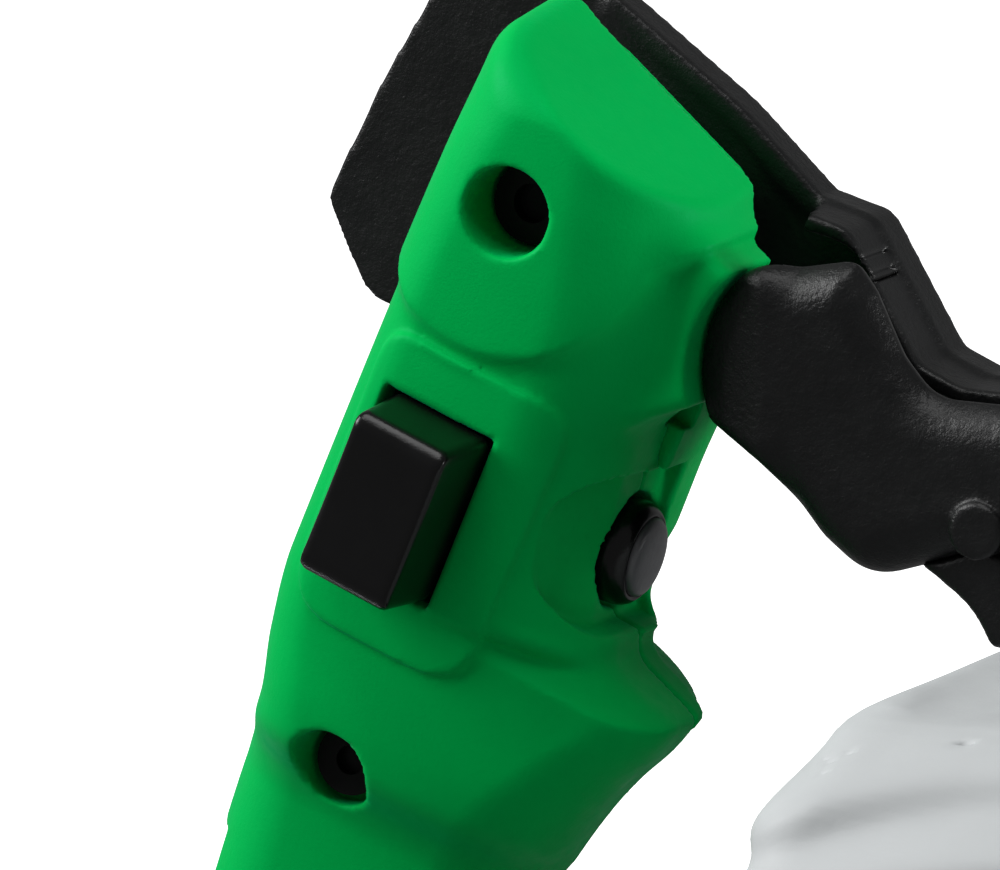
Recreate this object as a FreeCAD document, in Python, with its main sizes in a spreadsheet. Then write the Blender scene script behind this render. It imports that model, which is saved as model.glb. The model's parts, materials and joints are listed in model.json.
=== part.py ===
import FreeCAD, Part
import math
import os

import Sketcher
from FreeCAD import Placement, Rotation, Vector

# String trimmer, in millimetres.  +X points forward to the cutting head, +Y to the user's left and
# +Z up.  The origin is the middle of the engine stand's foot, on the ground.  The crankshaft and the
# straight shaft share one axis along X, at crank_height.  The control handle has a frame of its own,
# with its origin beside the tip of its rear beak, that leans back about Y.

DIMENSIONS = {
    "crank_height": 135.0,
    "tube_radius": 13.0,
    "tube_wall": 1.5,
    "tube_start": 80.0,
    "tube_end": 1470.0,
    "drive_radius": 4.0,
    "running_gap": 0.05,
    "handle_station": 120.0,
    "handle_height": 108.0,
    "handle_lean": 23.0,
    "shell_half_width": 17.5,
    "shell_wall": 3.0,
    "panel_rise": 0.9,
    "bolt_forward": 3.6,
    "bolt_up": 43.0,
    "well_radius": 4.5,
    "screw_well_radius": 3.9,
    "button_up": 11.6,
    "button_radius": 4.5,
    "button_gap": 0.4,
    "switch_up": 11.3,
    "switch_forward": 2.6,
    "switch_length": 18.8,
    "switch_width": 11.6,
    "switch_rise": 9.0,
    "pivot_radius": 2.0,
    "trigger_pivot_forward": -1.0,
    "trigger_pivot_up": -38.0,
    "trigger_half_width": 6.0,
    "arm_near": 9.0,
    "plate_thickness": 3.0,
    "rim_depth": 11.5,
    "disc_radius": 13.2,
    "disc_forward": -30.0,
    "disc_up": 39.4,
    "cowl_back": -40.0,
    "cowl_wall": 2.5,
    "fin_radius": 34.0,
    "bore_radius": 17.0,
    "crank_radius": 6.0,
    "web_radius": 26.0,
    "flywheel_radius": 44.0,
    "starter_radius": 65.0,
    "pulley_radius": 25.0,
    "rope_radius": 1.75,
    "drum_radius": 28.0,
    "foot_thickness": 5.0,
    "foot_half_width": 72.0,
    "tank_half_width": 60.0,
    "cap_radius": 19.0,
    "loop_station": 480.0,
    "loop_tube_radius": 8.0,
    "loop_pivot_height": 26.0,
    "eyelet_station": 300.0,
    "eyelet_radius": 7.0,
    "eyelet_thickness": 5.0,
    "gear_station": 1500.0,
    "head_tilt": 30.0,
    "output_radius": 5.0,
    "case_radius": 24.0,
    "pinion_teeth": 14.0,
    "gear_teeth": 19.0,
    "head_radius": 55.0,
    "line_radius": 1.2,
    "line_reach": 150.0,
    "guard_radius": 155.0,
    "guard_wall": 2.5,
    "guard_angle": 130.0,
    "guard_band_radius": 30.0,
}

FACE_GAP = 0.3

doc = FreeCAD.newDocument("string_trimmer")
sheet = doc.addObject("Spreadsheet::Sheet", "dims")


class Length:
    """A number together with the sheet expression that it comes from."""

    def __init__(self, value, text):
        self.value = float(value)
        self.text = text

    def __float__(self):
        return self.value

    def __add__(self, other):
        return Length(self.value + float(other), f"({self.text} + {words(other)})")

    def __radd__(self, other):
        return Length(float(other) + self.value, f"({words(other)} + {self.text})")

    def __sub__(self, other):
        return Length(self.value - float(other), f"({self.text} - {words(other)})")

    def __rsub__(self, other):
        return Length(float(other) - self.value, f"({words(other)} - {self.text})")

    def __mul__(self, other):
        return Length(self.value * float(other), f"({self.text} * {words(other)})")

    def __rmul__(self, other):
        return Length(float(other) * self.value, f"({words(other)} * {self.text})")

    def __truediv__(self, other):
        return Length(self.value / float(other), f"({self.text} / {words(other)})")

    def __neg__(self):
        return Length(-self.value, f"(0 - {self.text})")


def words(amount):
    if isinstance(amount, Length):
        return amount.text
    return repr(round(float(amount), 6))


class Sizes:
    """Every driving dimension as an attribute, bound to its cell of the sheet."""

    def __init__(self):
        for row, (name, value) in enumerate(DIMENSIONS.items(), start=1):
            sheet.set(f"A{row}", name)
            sheet.set(f"B{row}", str(value))
            sheet.setAlias(f"B{row}", name)
            setattr(self, name, Length(value, "dims." + name))


d = Sizes()
doc.recompute()

X_AXIS = Vector(1, 0, 0)
Y_AXIS = Vector(0, 1, 0)
Z_AXIS = Vector(0, 0, 1)
UPRIGHT = Rotation()
ALONG_X = Rotation(Y_AXIS, 90)
ALONG_Y = Rotation(X_AXIS, -90)
SIDE = Rotation(X_AXIS, 90)
CYCLE = Rotation(Vector(1, 1, 1), 120)
LEAN = Rotation(Y_AXIS, -float(d.handle_lean))
TILT = Rotation(Y_AXIS, -float(d.head_tilt))

shaft_z = d.crank_height
handle_x = d.handle_station
handle_z = d.crank_height + d.handle_height

nodes = {}


def node(label, piece):
    """Names a finished piece as one of the trimmer's sub-parts."""
    piece.Label = label
    nodes[label] = piece
    return piece


def bind(piece, name, amount):
    if isinstance(amount, Length):
        piece.setExpression(name, amount.text)
    else:
        setattr(piece, name, amount)


def place(piece, at, turn=UPRIGHT):
    piece.Placement = Placement(Vector(*[float(part) for part in at]), turn)
    for axis, part in zip("xyz", at):
        if isinstance(part, Length):
            piece.setExpression(".Placement.Base." + axis, part.text)
    return piece


def cylinder(name, radius, length, at, turn=UPRIGHT):
    """A cylinder that starts at a point and runs along its turned Z axis."""
    piece = doc.addObject("Part::Cylinder", name)
    bind(piece, "Radius", radius)
    bind(piece, "Height", length)
    return place(piece, at, turn)


def block(name, low, high):
    """A box between two corners, square to the row axes."""
    piece = doc.addObject("Part::Box", name)
    for side, start, end in zip(("Length", "Width", "Height"), low, high):
        bind(piece, side, end - start)
    return place(piece, low)


def turned_block(name, sides, centre, origin, turn):
    """A box given by its sides and centre in a turned frame with its own origin."""
    piece = doc.addObject("Part::Box", name)
    for side, amount in zip(("Length", "Width", "Height"), sides):
        bind(piece, side, amount)
    corner = Vector(*[float(middle) - float(side) / 2 for middle, side in zip(centre, sides)])
    piece.Placement = Placement(Vector(*[float(part) for part in origin]) + turn.multVec(corner), turn)
    return piece


def fuse(name, *pieces):
    joined = doc.addObject("Part::MultiFuse", name)
    joined.Shapes = list(pieces)
    return joined


def cut(name, base, *tools):
    piece = doc.addObject("Part::Cut", name)
    piece.Base = base
    piece.Tool = tools[0] if len(tools) == 1 else fuse(name + "_tools", *tools)
    return piece


def group(name, pieces):
    together = doc.addObject("Part::Compound", name)
    together.Links = pieces
    return together


def origin_plane(body, role):
    return [plane for plane in body.Origin.OriginFeatures if plane.Role == role][0]


def new_sketch(body, name, role):
    sketch = body.newObject("Sketcher::SketchObject", name)
    sketch.AttachmentSupport = (origin_plane(body, role), [""])
    sketch.MapMode = "FlatFace"
    return sketch


def corner_sketch(body, name, role, corners):
    """A closed sketch of straight sides, each corner held by two bound distances."""
    sketch = new_sketch(body, name, role)
    spots = [Vector(float(across), float(up), 0) for across, up in corners]
    count = len(spots)
    for index in range(count):
        sketch.addGeometry(Part.LineSegment(spots[index], spots[(index + 1) % count]))
    for index in range(count):
        sketch.addConstraint(Sketcher.Constraint("Coincident", index, 2, (index + 1) % count, 1))
    for index, corner in enumerate(corners):
        for kind, amount in zip(("DistanceX", "DistanceY"), corner):
            number = sketch.addConstraint(Sketcher.Constraint(kind, -1, 1, index, 1, float(amount)))
            if isinstance(amount, Length):
                sketch.setExpression(f"Constraints[{number}]", amount.text)
    return sketch


def rounded_edges(corners, closed=True):
    """Lines and tangent arcs through corners given as (across, up, radius)."""
    spots = [Vector(float(across), float(up), 0) for across, up, _ in corners]
    radii = [float(radius) for _, _, radius in corners]
    count = len(spots)
    entries, exits, arcs = [], [], []
    for index, (spot, radius) in enumerate(zip(spots, radii)):
        before = spots[index - 1] - spot
        after = spots[(index + 1) % count] - spot
        is_end = not closed and index in (0, count - 1)
        if radius == 0 or is_end:
            entries.append(spot)
            exits.append(spot)
            arcs.append(None)
            continue
        before.normalize()
        after.normalize()
        half = before.getAngle(after) / 2
        reach = radius / math.tan(half)
        middle = before + after
        middle.normalize()
        centre = spot + middle * (radius / math.sin(half))
        entries.append(spot + before * reach)
        exits.append(spot + after * reach)
        arcs.append(Part.Arc(entries[-1], centre - middle * radius, exits[-1]))
    edges = []
    for index in range(count):
        if arcs[index] is not None:
            edges.append(arcs[index])
        is_last = index == count - 1
        if is_last and not closed:
            continue
        following = entries[(index + 1) % count]
        if (following - exits[index]).Length > 0.001:
            edges.append(Part.LineSegment(exits[index], following))
    return edges


def rounded_sketch(body, name, role, corners, closed=True):
    sketch = new_sketch(body, name, role)
    sketch.addGeometry(rounded_edges(corners, closed))
    return sketch


def padded(name, corners, thickness, at, turn=SIDE):
    """A plate cut to a rounded outline.  Turned to its side, it grows towards -Y."""
    body = doc.addObject("PartDesign::Body", name)
    sketch = rounded_sketch(body, name + "_outline", "XY_Plane", corners)
    doc.recompute()
    pad = body.newObject("PartDesign::Pad", name + "_pad")
    pad.Profile = sketch
    bind(pad, "Length", thickness)
    doc.recompute()
    place(body, at, turn)
    return body


def soften(name, body, radius, chosen):
    """Rounds the edges of a body that a test picks out."""
    tip = body.Tip
    picked = [f"Edge{number}" for number, edge in enumerate(tip.Shape.Edges, start=1) if chosen(edge)]
    rounding = body.newObject("PartDesign::Fillet", name)
    rounding.Base = (tip, picked)
    bind(rounding, "Radius", radius)
    doc.recompute()
    return body


def turned(name, corners, at, turn=UPRIGHT, sweep=360.0):
    """A lathe piece from (radius, height) corners, turned about its own Z axis."""
    body = doc.addObject("PartDesign::Body", name)
    sketch = corner_sketch(body, name + "_profile", "XZ_Plane", corners)
    doc.recompute()
    piece = body.newObject("PartDesign::Revolution", name + "_turn")
    piece.Profile = sketch
    piece.ReferenceAxis = (sketch, ["V_Axis"])
    bind(piece, "Angle", sweep)
    piece.Midplane = True
    doc.recompute()
    place(body, at, turn)
    return body


def ring(inner, outer, low, high):
    """Corners of a tube's section, for turned."""
    return [(inner, low), (outer, low), (outer, high), (inner, high)]


# ---------------------------------------------------------------- control handle

# Side outline of the clamshell handle: (forward, up, corner radius) in the handle's own frame.
grip_foot_front = -105.0
grip_foot_back = -91.5
HANDLE_OUTLINE = [
    (14.0, 62.5, 7.0),
    (-13.0, 52.5, 2.0),
    (-14.7, 46.8, 1.5),
    (-18.4, 46.7, 0.4),
    (-16.8, 43.0, 0.0),
    (-16.3, 39.4, 0.0),
    (-17.1, 34.7, 0.0),
    (-18.8, 31.5, 0.4),
    (-14.2, 27.0, 3.0),
    (-14.4, 19.0, 4.0),
    (-18.4, 8.0, 6.0),
    (-20.0, 1.6, 2.5),
    (-28.6, 0.8, 1.2),
    (-28.0, -2.6, 1.0),
    (-19.5, -15.0, 18.0),
    (-17.2, -40.0, 30.0),
    (-18.0, grip_foot_back, 2.0),
    (12.0, grip_foot_front, 2.0),
    (8.6, -60.0, 40.0),
    (9.0, -30.0, 30.0),
    (14.0, 0.0, 40.0),
]
CAVITY_OUTLINE = [
    (11.0, 54.0, 3.0),
    (4.0, 55.0, 3.0),
    (-10.0, 49.5, 2.0),
    (-11.0, 20.0, 2.0),
    (-15.0, 6.0, 3.0),
    (-15.0, -10.0, 6.0),
    (-14.0, -40.0, 20.0),
    (-14.5, -88.0, 2.0),
    (8.0, -97.0, 2.0),
    (5.4, -60.0, 20.0),
    (6.0, -30.0, 20.0),
    (11.0, 0.0, 20.0),
]
PANEL_OUTLINE = [
    (11.0, 27.0, 4.0),
    (-9.8, 27.0, 4.0),
    (-9.8, -4.2, 4.5),
    (11.0, -4.2, 4.0),
]

half = d.shell_half_width
# The handle from behind, drawn in at its crest: (left, up, corner radius).
CREST_OUTLINE = [
    (half, -130.0, 0.0),
    (half, 47.0, 6.0),
    (9.0, 56.0, 4.0),
    (9.0, 70.0, 0.0),
    (-8.4, 70.0, 0.0),
    (-8.4, 44.6, 2.0),
    (-half, 42.0, 6.0),
    (-half, -130.0, 0.0),
]
# The handle's rounded section across its axis: (forward, left, corner radius).
SECTION_OUTLINE = [
    (14.1, half, 6.0),
    (-40.0, half, 14.0),
    (-40.0, -half, 14.0),
    (14.1, -half, 6.0),
]


def in_handle(forward, left, up):
    """A point of the handle's frame as row coordinates."""
    spot = LEAN.multVec(Vector(float(forward), 0, float(up)))
    return (handle_x + spot.x, left, handle_z + spot.z)


def handle_post(name, radius, near, far, forward, up):
    """A round post across the handle, from its near face to its far face."""
    return cylinder(name, radius, near - far, in_handle(forward, near, up), LEAN * SIDE)


def shell_blank(side, near, far):
    """Half of the handle, hollowed, with its screw posts."""
    form = padded(f"{side}_form", HANDLE_OUTLINE, near - far, (handle_x, near, handle_z), LEAN * SIDE)
    is_left = side == "left"
    section = padded(f"{side}_section", SECTION_OUTLINE, 200.0, in_handle(0.0, 0.0, -120.0), LEAN)
    crest = padded(f"{side}_crest", CREST_OUTLINE, 80.0, in_handle(-40.0, 0.0, 0.0), LEAN * CYCLE)
    outer = doc.addObject("Part::MultiCommon", f"{side}_outer")
    outer.Shapes = [form, section, crest]
    inner_near = near - d.shell_wall if is_left else near + 1.0
    inner_far = far - 1.0 if is_left else far + d.shell_wall
    cavity = padded(
        f"{side}_cavity", CAVITY_OUTLINE, inner_near - inner_far, (handle_x, inner_near, handle_z), LEAN * SIDE
    )
    hollow = cut(f"{side}_hollow", outer, cavity)
    inset = 2.5 if is_left else -2.5
    ends = (near - inset, far) if is_left else (near, far - inset)
    posts = [
        handle_post(f"{side}_bolt_post", 7.0, *ends, d.bolt_forward, d.bolt_up),
        handle_post(f"{side}_screw_post", 5.6, *ends, 0.0, -18.6),
        handle_post(f"{side}_foot_post", 5.0, *ends, -5.0, -88.0),
    ]
    return fuse(f"{side}_blank", hollow, *posts)


def trigger_slot(name):
    sides = (20.0, 2 * d.trigger_half_width + 1.2, 56.0)
    return turned_block(name, sides, (12.0, 0.0, -61.0), (handle_x, 0.0, handle_z), LEAN)


def button_hole(name):
    reach = 12.0
    spot = in_handle(-9.0, 0.0, d.button_up)
    return cylinder(name, d.button_radius + d.button_gap, reach, spot, LEAN * Rotation(Y_AXIS, -90))


def handle_shells(trigger_pin):
    left_blank = shell_blank("left", half, 0.0)
    panel = padded("left_panel", PANEL_OUTLINE, 1.5, (handle_x, half + d.panel_rise, handle_z), LEAN * SIDE)
    left = fuse("left_with_panel", left_blank, panel)
    opening = turned_block(
        "switch_opening",
        (d.switch_width + 0.7, 12.0, d.switch_length + 0.7),
        (d.switch_forward, 18.0, d.switch_up),
        (handle_x, 0.0, handle_z),
        LEAN,
    )
    left_tools = [
        opening,
        trigger_slot("left_trigger_slot"),
        button_hole("left_button_hole"),
        handle_post("bolt_well", d.well_radius, half + 4, half - 8.5, d.bolt_forward, d.bolt_up),
        handle_post("left_bolt_hole", 3.1, half, -1.0, d.bolt_forward, d.bolt_up),
        handle_post("screw_well", d.screw_well_radius, half + 2, half - 9.5, 0.0, -18.6),
        handle_post("left_screw_hole", 2.1, half, -1.0, 0.0, -18.6),
        handle_post("foot_well", d.screw_well_radius, half + 2, half - 9.5, -5.0, -88.0),
        handle_post("left_foot_hole", 2.1, half, -1.0, -5.0, -88.0),
    ]
    left_form = cut("left_form_cut", left, *left_tools)
    node("handle_shell_left", fuse("handle_shell_left", left_form, trigger_pin))
    right_blank = shell_blank("right", 0.0, -half)
    right_tools = [
        trigger_slot("right_trigger_slot"),
        button_hole("right_button_hole"),
        handle_post("right_bolt_hole", 3.1, 1.0, -half - 1, d.bolt_forward, d.bolt_up),
        handle_post("right_screw_hole", 2.1, 1.0, -half + 4, 0.0, -18.6),
        handle_post("right_foot_hole", 2.1, 1.0, -half + 4, -5.0, -88.0),
        cylinder("cable_exit", 4.0, 20.0, in_handle(-4.5, -4.2, 35.4), LEAN * Rotation(Y_AXIS, -90)),
    ]
    node("handle_shell_right", cut("handle_shell_right", right_blank, *right_tools))


def handle_fasteners():
    head = handle_post("head_bolt_head", 4.1, half - 5.5, half - 8.5, d.bolt_forward, d.bolt_up)
    socket = handle_post("head_bolt_socket", 2.0, half - 5.0, half - 7.2, d.bolt_forward, d.bolt_up)
    shank = handle_post("head_bolt_shank", 3.0, half - 8.5, -half - 6.0, d.bolt_forward, d.bolt_up)
    bolt = cut("head_bolt_part", fuse("head_bolt_blank", head, shank), socket)
    nut_near = -half - d.plate_thickness
    nut = handle_post("head_nut_blank", 5.5, nut_near, -half - 8.0, d.bolt_forward, d.bolt_up)
    bore = handle_post("head_nut_bore", 3.0, -half - 2.0, -half - 9.0, d.bolt_forward, d.bolt_up)
    node("head_bolt", group("head_bolt", [bolt, cut("head_nut_part", nut, bore)]))
    screws = []
    for index, (forward, up) in enumerate(((0.0, -18.6), (-5.0, -88.0))):
        cap = handle_post(f"screw_head_{index}", 3.6, half - 7.0, half - 9.5, forward, up)
        slot = handle_post(f"screw_recess_{index}", 1.5, half - 6.0, half - 8.2, forward, up)
        stem = handle_post(f"screw_stem_{index}", 2.0, half - 9.5, -half + 5.0, forward, up)
        screws.append(cut(f"screw_{index}", fuse(f"screw_blank_{index}", cap, stem), slot))
    return screws


TRIGGER_OUTLINE = [
    (-5.0, -33.5, 3.0),
    (3.0, -33.0, 3.0),
    (10.0, -41.0, 5.0),
    (19.0, -48.0, 5.0),
    (18.0, -62.0, 20.0),
    (19.5, -78.0, 3.0),
    (15.0, -84.0, 2.5),
    (11.5, -80.0, 2.0),
    (11.5, -56.0, 8.0),
    (3.0, -46.0, 5.0),
    (-5.0, -43.0, 3.0),
]


def trigger_set():
    wide = d.trigger_half_width
    pivot = (d.trigger_pivot_forward, d.trigger_pivot_up)
    blank = padded("trigger_blank", TRIGGER_OUTLINE, 2 * wide, (handle_x, wide, handle_z), LEAN * SIDE)
    bore = handle_post("trigger_bore", d.pivot_radius + d.running_gap, wide + 1, -wide - 1, *pivot)
    node("throttle_trigger", cut("throttle_trigger", blank, bore))
    coil = handle_post("trigger_spring_coil", 4.2, wide + 3.4, wide + FACE_GAP, *pivot)
    eye = handle_post("trigger_spring_eye", 2.6, wide + 4.0, wide, *pivot)
    node("trigger_spring", cut("trigger_spring", coil, eye))
    inside = half - d.shell_wall
    return handle_post("trigger_pin", d.pivot_radius, inside, -inside, *pivot)


def lock_button():
    back = LEAN * Rotation(Y_AXIS, -90)
    start = in_handle(0.0, 0.0, d.button_up)
    radius = d.button_radius
    corners = [
        (0.0, 3.0),
        (2.4, 3.0),
        (2.4, 8.2),
        (6.2, 8.2),
        (6.2, 9.8),
        (radius, 9.8),
        (radius, 16.4),
        (radius - 1.0, 17.1),
        (0.0, 17.5),
    ]
    node("throttle_lock_button", turned("throttle_lock_button", corners, start, back))
    node("button_spring", turned("button_spring", ring(2.8, 4.4, 1.0, 8.0), start, back))


SWITCH_CORNER = 1.6


def stop_switch():
    surface = half + d.panel_rise
    across = d.switch_width / 2
    along = d.switch_length / 2
    middle = d.switch_forward
    centre = d.switch_up
    corners = [
        (middle + across, centre + along, SWITCH_CORNER),
        (middle - across, centre + along, SWITCH_CORNER),
        (middle - across, centre - along, SWITCH_CORNER),
        (middle + across, centre - along, SWITCH_CORNER),
    ]
    cap_spot = (handle_x, surface + d.switch_rise, handle_z)
    cap = padded("switch_cap", corners, d.switch_rise, cap_spot, LEAN * SIDE)
    soften("switch_cap_rounding", cap, 1.4, lambda edge: edge.BoundBox.ZMax < 0.01)
    origin = (handle_x, 0.0, handle_z)
    leg_top = float(surface)
    leg_middle = (middle, (leg_top + 13.0) / 2, centre)
    leg = turned_block("switch_leg", (8.0, leg_top - 13.0, 11.0), leg_middle, origin, LEAN)
    node("stop_switch", fuse("stop_switch", cap, leg))
    contacts = turned_block("switch_contacts", (10.0, 7.0, 14.0), (middle, 8.6, centre), origin, LEAN)
    node("switch_contacts", contacts)


# ---------------------------------------------------------------- closing bow behind the handle

PLATE_OUTLINE = [
    (31.5, 59.5, 9.0),
    (34.8, 38.0, 30.0),
    (35.4, 20.5, 5.0),
    (25.0, 15.0, 5.0),
    (4.0, 22.0, 10.0),
    (-18.0, 30.0, 6.0),
    (-34.0, 30.0, 6.0),
    (-60.0, 41.0, 2.0),
    (-61.0, 49.6, 1.0),
    (-37.0, 40.9, 6.0),
    (-31.5, 41.4, 3.0),
    (-22.5, 47.6, 4.0),
    (-13.2, 49.0, 3.0),
    (14.0, 56.9, 8.0),
]
RIM_OUTLINE = [
    (14.0, 56.9, 0.0),
    (-13.2, 49.0, 3.0),
    (-22.5, 47.6, 4.0),
    (-31.5, 41.4, 3.0),
    (-37.0, 40.9, 6.0),
    (-61.0, 49.6, 0.0),
    (-61.6, 47.2, 0.0),
    (-37.2, 38.4, 4.0),
    (-30.6, 39.0, 2.0),
    (-21.8, 45.2, 3.0),
    (-13.0, 46.6, 2.0),
    (14.6, 54.6, 0.0),
]
# The arm's side outline from its disc root to its foot on the engine, in the handle's frame.
ARM_OUTLINE = [
    (-30.0, 49.5, 0.0),
    (-33.0, 44.6, 4.0),
    (-38.8, 43.6, 5.0),
    (-44.0, 45.0, 5.0),
    (-64.0, 54.5, 20.0),
    (-100.0, 71.0, 20.0),
    (-126.0, 77.0, 12.0),
    (-138.0, 67.0, 3.0),
    (-138.0, 58.58, 0.5),
    (-124.0, 52.63, 0.5),
    (-112.0, 53.0, 8.0),
    (-68.0, 33.5, 20.0),
    (-47.0, 24.6, 8.0),
    (-39.0, 25.4, 8.0),
    (-30.0, 29.4, 0.0),
]
CHANNEL_OUTLINE = [
    (-22.0, 41.5, 2.0),
    (-40.0, 39.5, 3.0),
    (-64.0, 49.5, 6.0),
    (-100.0, 66.0, 8.0),
    (-130.0, 69.0, 4.0),
    (-132.0, 61.0, 2.0),
    (-104.0, 57.5, 6.0),
    (-66.0, 39.5, 6.0),
    (-46.0, 31.0, 4.0),
    (-36.0, 32.0, 3.0),
    (-22.0, 34.0, 2.0),
]
STAY_SPOT = (-51.3, 32.0)


def bow():
    origin_far = (handle_x, -half, handle_z)
    plate = padded("bow_plate_sheet", PLATE_OUTLINE, d.plate_thickness, origin_far, LEAN * SIDE)
    rim_near = -half + d.rim_depth - d.plate_thickness
    rim = padded("bow_plate_rim", RIM_OUTLINE, d.rim_depth, (handle_x, rim_near, handle_z), LEAN * SIDE)
    hole = handle_post("plate_bolt_hole", 3.05, -half + 1, -half - 5, d.bolt_forward, d.bolt_up)
    node("bow_plate", cut("bow_plate", fuse("bow_plate_blank", plate, rim), hole))
    near = d.arm_near
    far = rim_near + FACE_GAP
    beam = padded("arm_beam", ARM_OUTLINE, near - far, (handle_x, near, handle_z), LEAN * SIDE)
    disc = handle_post("arm_disc", d.disc_radius, near, far, d.disc_forward, d.disc_up)
    spacer = handle_post("arm_spacer", 3.6, far + 2, -half, -26.0, 33.0)
    channel_spot = (handle_x, near - 4.5, handle_z)
    channel = padded("arm_channel", CHANNEL_OUTLINE, near - far, channel_spot, LEAN * SIDE)
    root_spot = in_handle(-14.0, -2.6, 37.0)
    root_way = cylinder("arm_cable_way", 3.0, 14.0, root_spot, LEAN * Rotation(Y_AXIS, -90))
    stay_hole = handle_post("arm_pin_hole", 2.5, near + 1, far - 1, *STAY_SPOT)
    drop = cylinder("arm_cable_drop", 4.0, 24.0, (handle_x - 143.0, -1.0, handle_z - 6.0))
    blank = fuse("bow_arm_blank", beam, disc)
    hollow = cut("bow_arm_hollow", blank, channel, root_way, stay_hole, drop)
    node("bow_arm", fuse("bow_arm", hollow, spacer))


def bow_fixings():
    near = d.arm_near
    far = -half + d.rim_depth - d.plate_thickness + FACE_GAP
    spot = STAY_SPOT
    pin = handle_post("stay_pin", 2.5, near + 1.2, far, *spot)
    eye = handle_post("stay_eye", 5.2, near + 3.0, near + FACE_GAP, *spot)
    centre = in_handle(spot[0], 0.0, spot[1])
    foot_low = handle_z
    leg_low = (centre[0] - 3.5, near + FACE_GAP, foot_low)
    leg = block("stay_leg", leg_low, (centre[0] + 3.5, near + 3.0, centre[2] - 2))
    foot_corner = (centre[0] - 14.0, near + FACE_GAP, foot_low)
    foot = block("stay_foot", foot_corner, (centre[0] + 3.5, near + 14.0, foot_low + 2))
    node("bow_stay", fuse("bow_stay", eye, leg, foot, pin))


# ---------------------------------------------------------------- shaft

BUSH_STATIONS = (220.0, 620.0, 1020.0, 1420.0)


def along_shaft(name, radius, start, end, height=0.0, left=0.0):
    return cylinder(name, radius, end - start, (start, left, shaft_z + height), ALONG_X)


def pipe(name, outer, inner, start, end):
    """A tube along the shaft's axis."""
    wall = along_shaft(name + "_outer", outer, start, end)
    return cut(name, wall, along_shaft(name + "_inner", inner, start - 1, end + 1))


def shaft():
    inner = d.tube_radius - d.tube_wall
    node("shaft_tube", pipe("shaft_tube", d.tube_radius, inner, d.tube_start, d.tube_end))
    bore = d.drive_radius + d.running_gap
    bushes = [pipe(f"bush_{index}", inner, bore, x, x + 24.0) for index, x in enumerate(BUSH_STATIONS)]
    node("drive_shaft_bushes", group("drive_shaft_bushes", bushes))
    node("drive_shaft", along_shaft("drive_shaft", d.drive_radius, d.tube_start - 14.0, 1491.0))


def handle_clamp(screws):
    front = handle_x + 60.0
    back = handle_x + 8.0
    side = 17.0
    top = shaft_z + 15.6
    split = 0.5
    hole = along_shaft("saddle_way", d.tube_radius, back - 1, front + 1)
    upper = block("saddle_block", (back, -side - 4, shaft_z + split), (front, side + 4, top))
    holes = []
    corners = ((back + 7, side), (back + 7, -side), (front - 7, side), (front - 7, -side))
    for index, (x, y) in enumerate(corners):
        holes.append(cylinder(f"clamp_hole_{index}", 2.6, 24.0, (x, y, shaft_z - 12)))
        head = cylinder(f"clamp_head_{index}", 3.6, 3.0, (x, y, shaft_z - 15.0))
        stem = cylinder(f"clamp_stem_{index}", 2.5, 22.0, (x, y, shaft_z - 12))
        screws.append(fuse(f"clamp_screw_{index}", head, stem))
    node("handle_saddle", cut("handle_saddle", upper, hole, *holes))
    lower = fuse(
        "clamp_blank",
        block("clamp_plate", (back, -side - 4, shaft_z - 12), (front, side + 4, shaft_z - split)),
        along_shaft("clamp_belly", d.tube_radius + 3.5, back, front),
    )
    trimmed = block("clamp_top", (back - 1, -side - 5, shaft_z - split), (front + 1, side + 5, shaft_z + 30))
    node("handle_clamp", cut("handle_clamp", lower, trimmed, hole, *holes))
    node("handle_screws", group("handle_screws", screws))


def harness_eyelet():
    x = d.eyelet_station
    thick = d.eyelet_thickness
    band = along_shaft("eyelet_band", d.tube_radius + 3.0, x - 8.0, x + 8.0)
    lug = cylinder("eyelet_lug", d.eyelet_radius + 4.0, thick, (x, -thick / 2, shaft_z + 26.0), ALONG_Y)
    neck = block("eyelet_neck", (x - 8.0, -thick / 2, shaft_z + 12.0), (x + 8.0, thick / 2, shaft_z + 22.0))
    way = along_shaft("eyelet_way", d.tube_radius, x - 9.0, x + 9.0)
    eye = cylinder("eyelet_eye", d.eyelet_radius, thick + 2, (x, -thick / 2 - 1, shaft_z + 26.0), ALONG_Y)
    node("harness_eyelet", cut("harness_eyelet", fuse("eyelet_blank", band, lug, neck), way, eye))


# Front loop handle: (left, up from the shaft axis, bend radius) of the bent tube's centre line.
LOOP_ROUTE = [
    (-7.0, 46.0, 0.0),
    (-66.0, 52.0, 22.0),
    (-60.0, 134.0, 30.0),
    (60.0, 134.0, 30.0),
    (66.0, 52.0, 22.0),
    (7.0, 46.0, 0.0),
]


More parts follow.
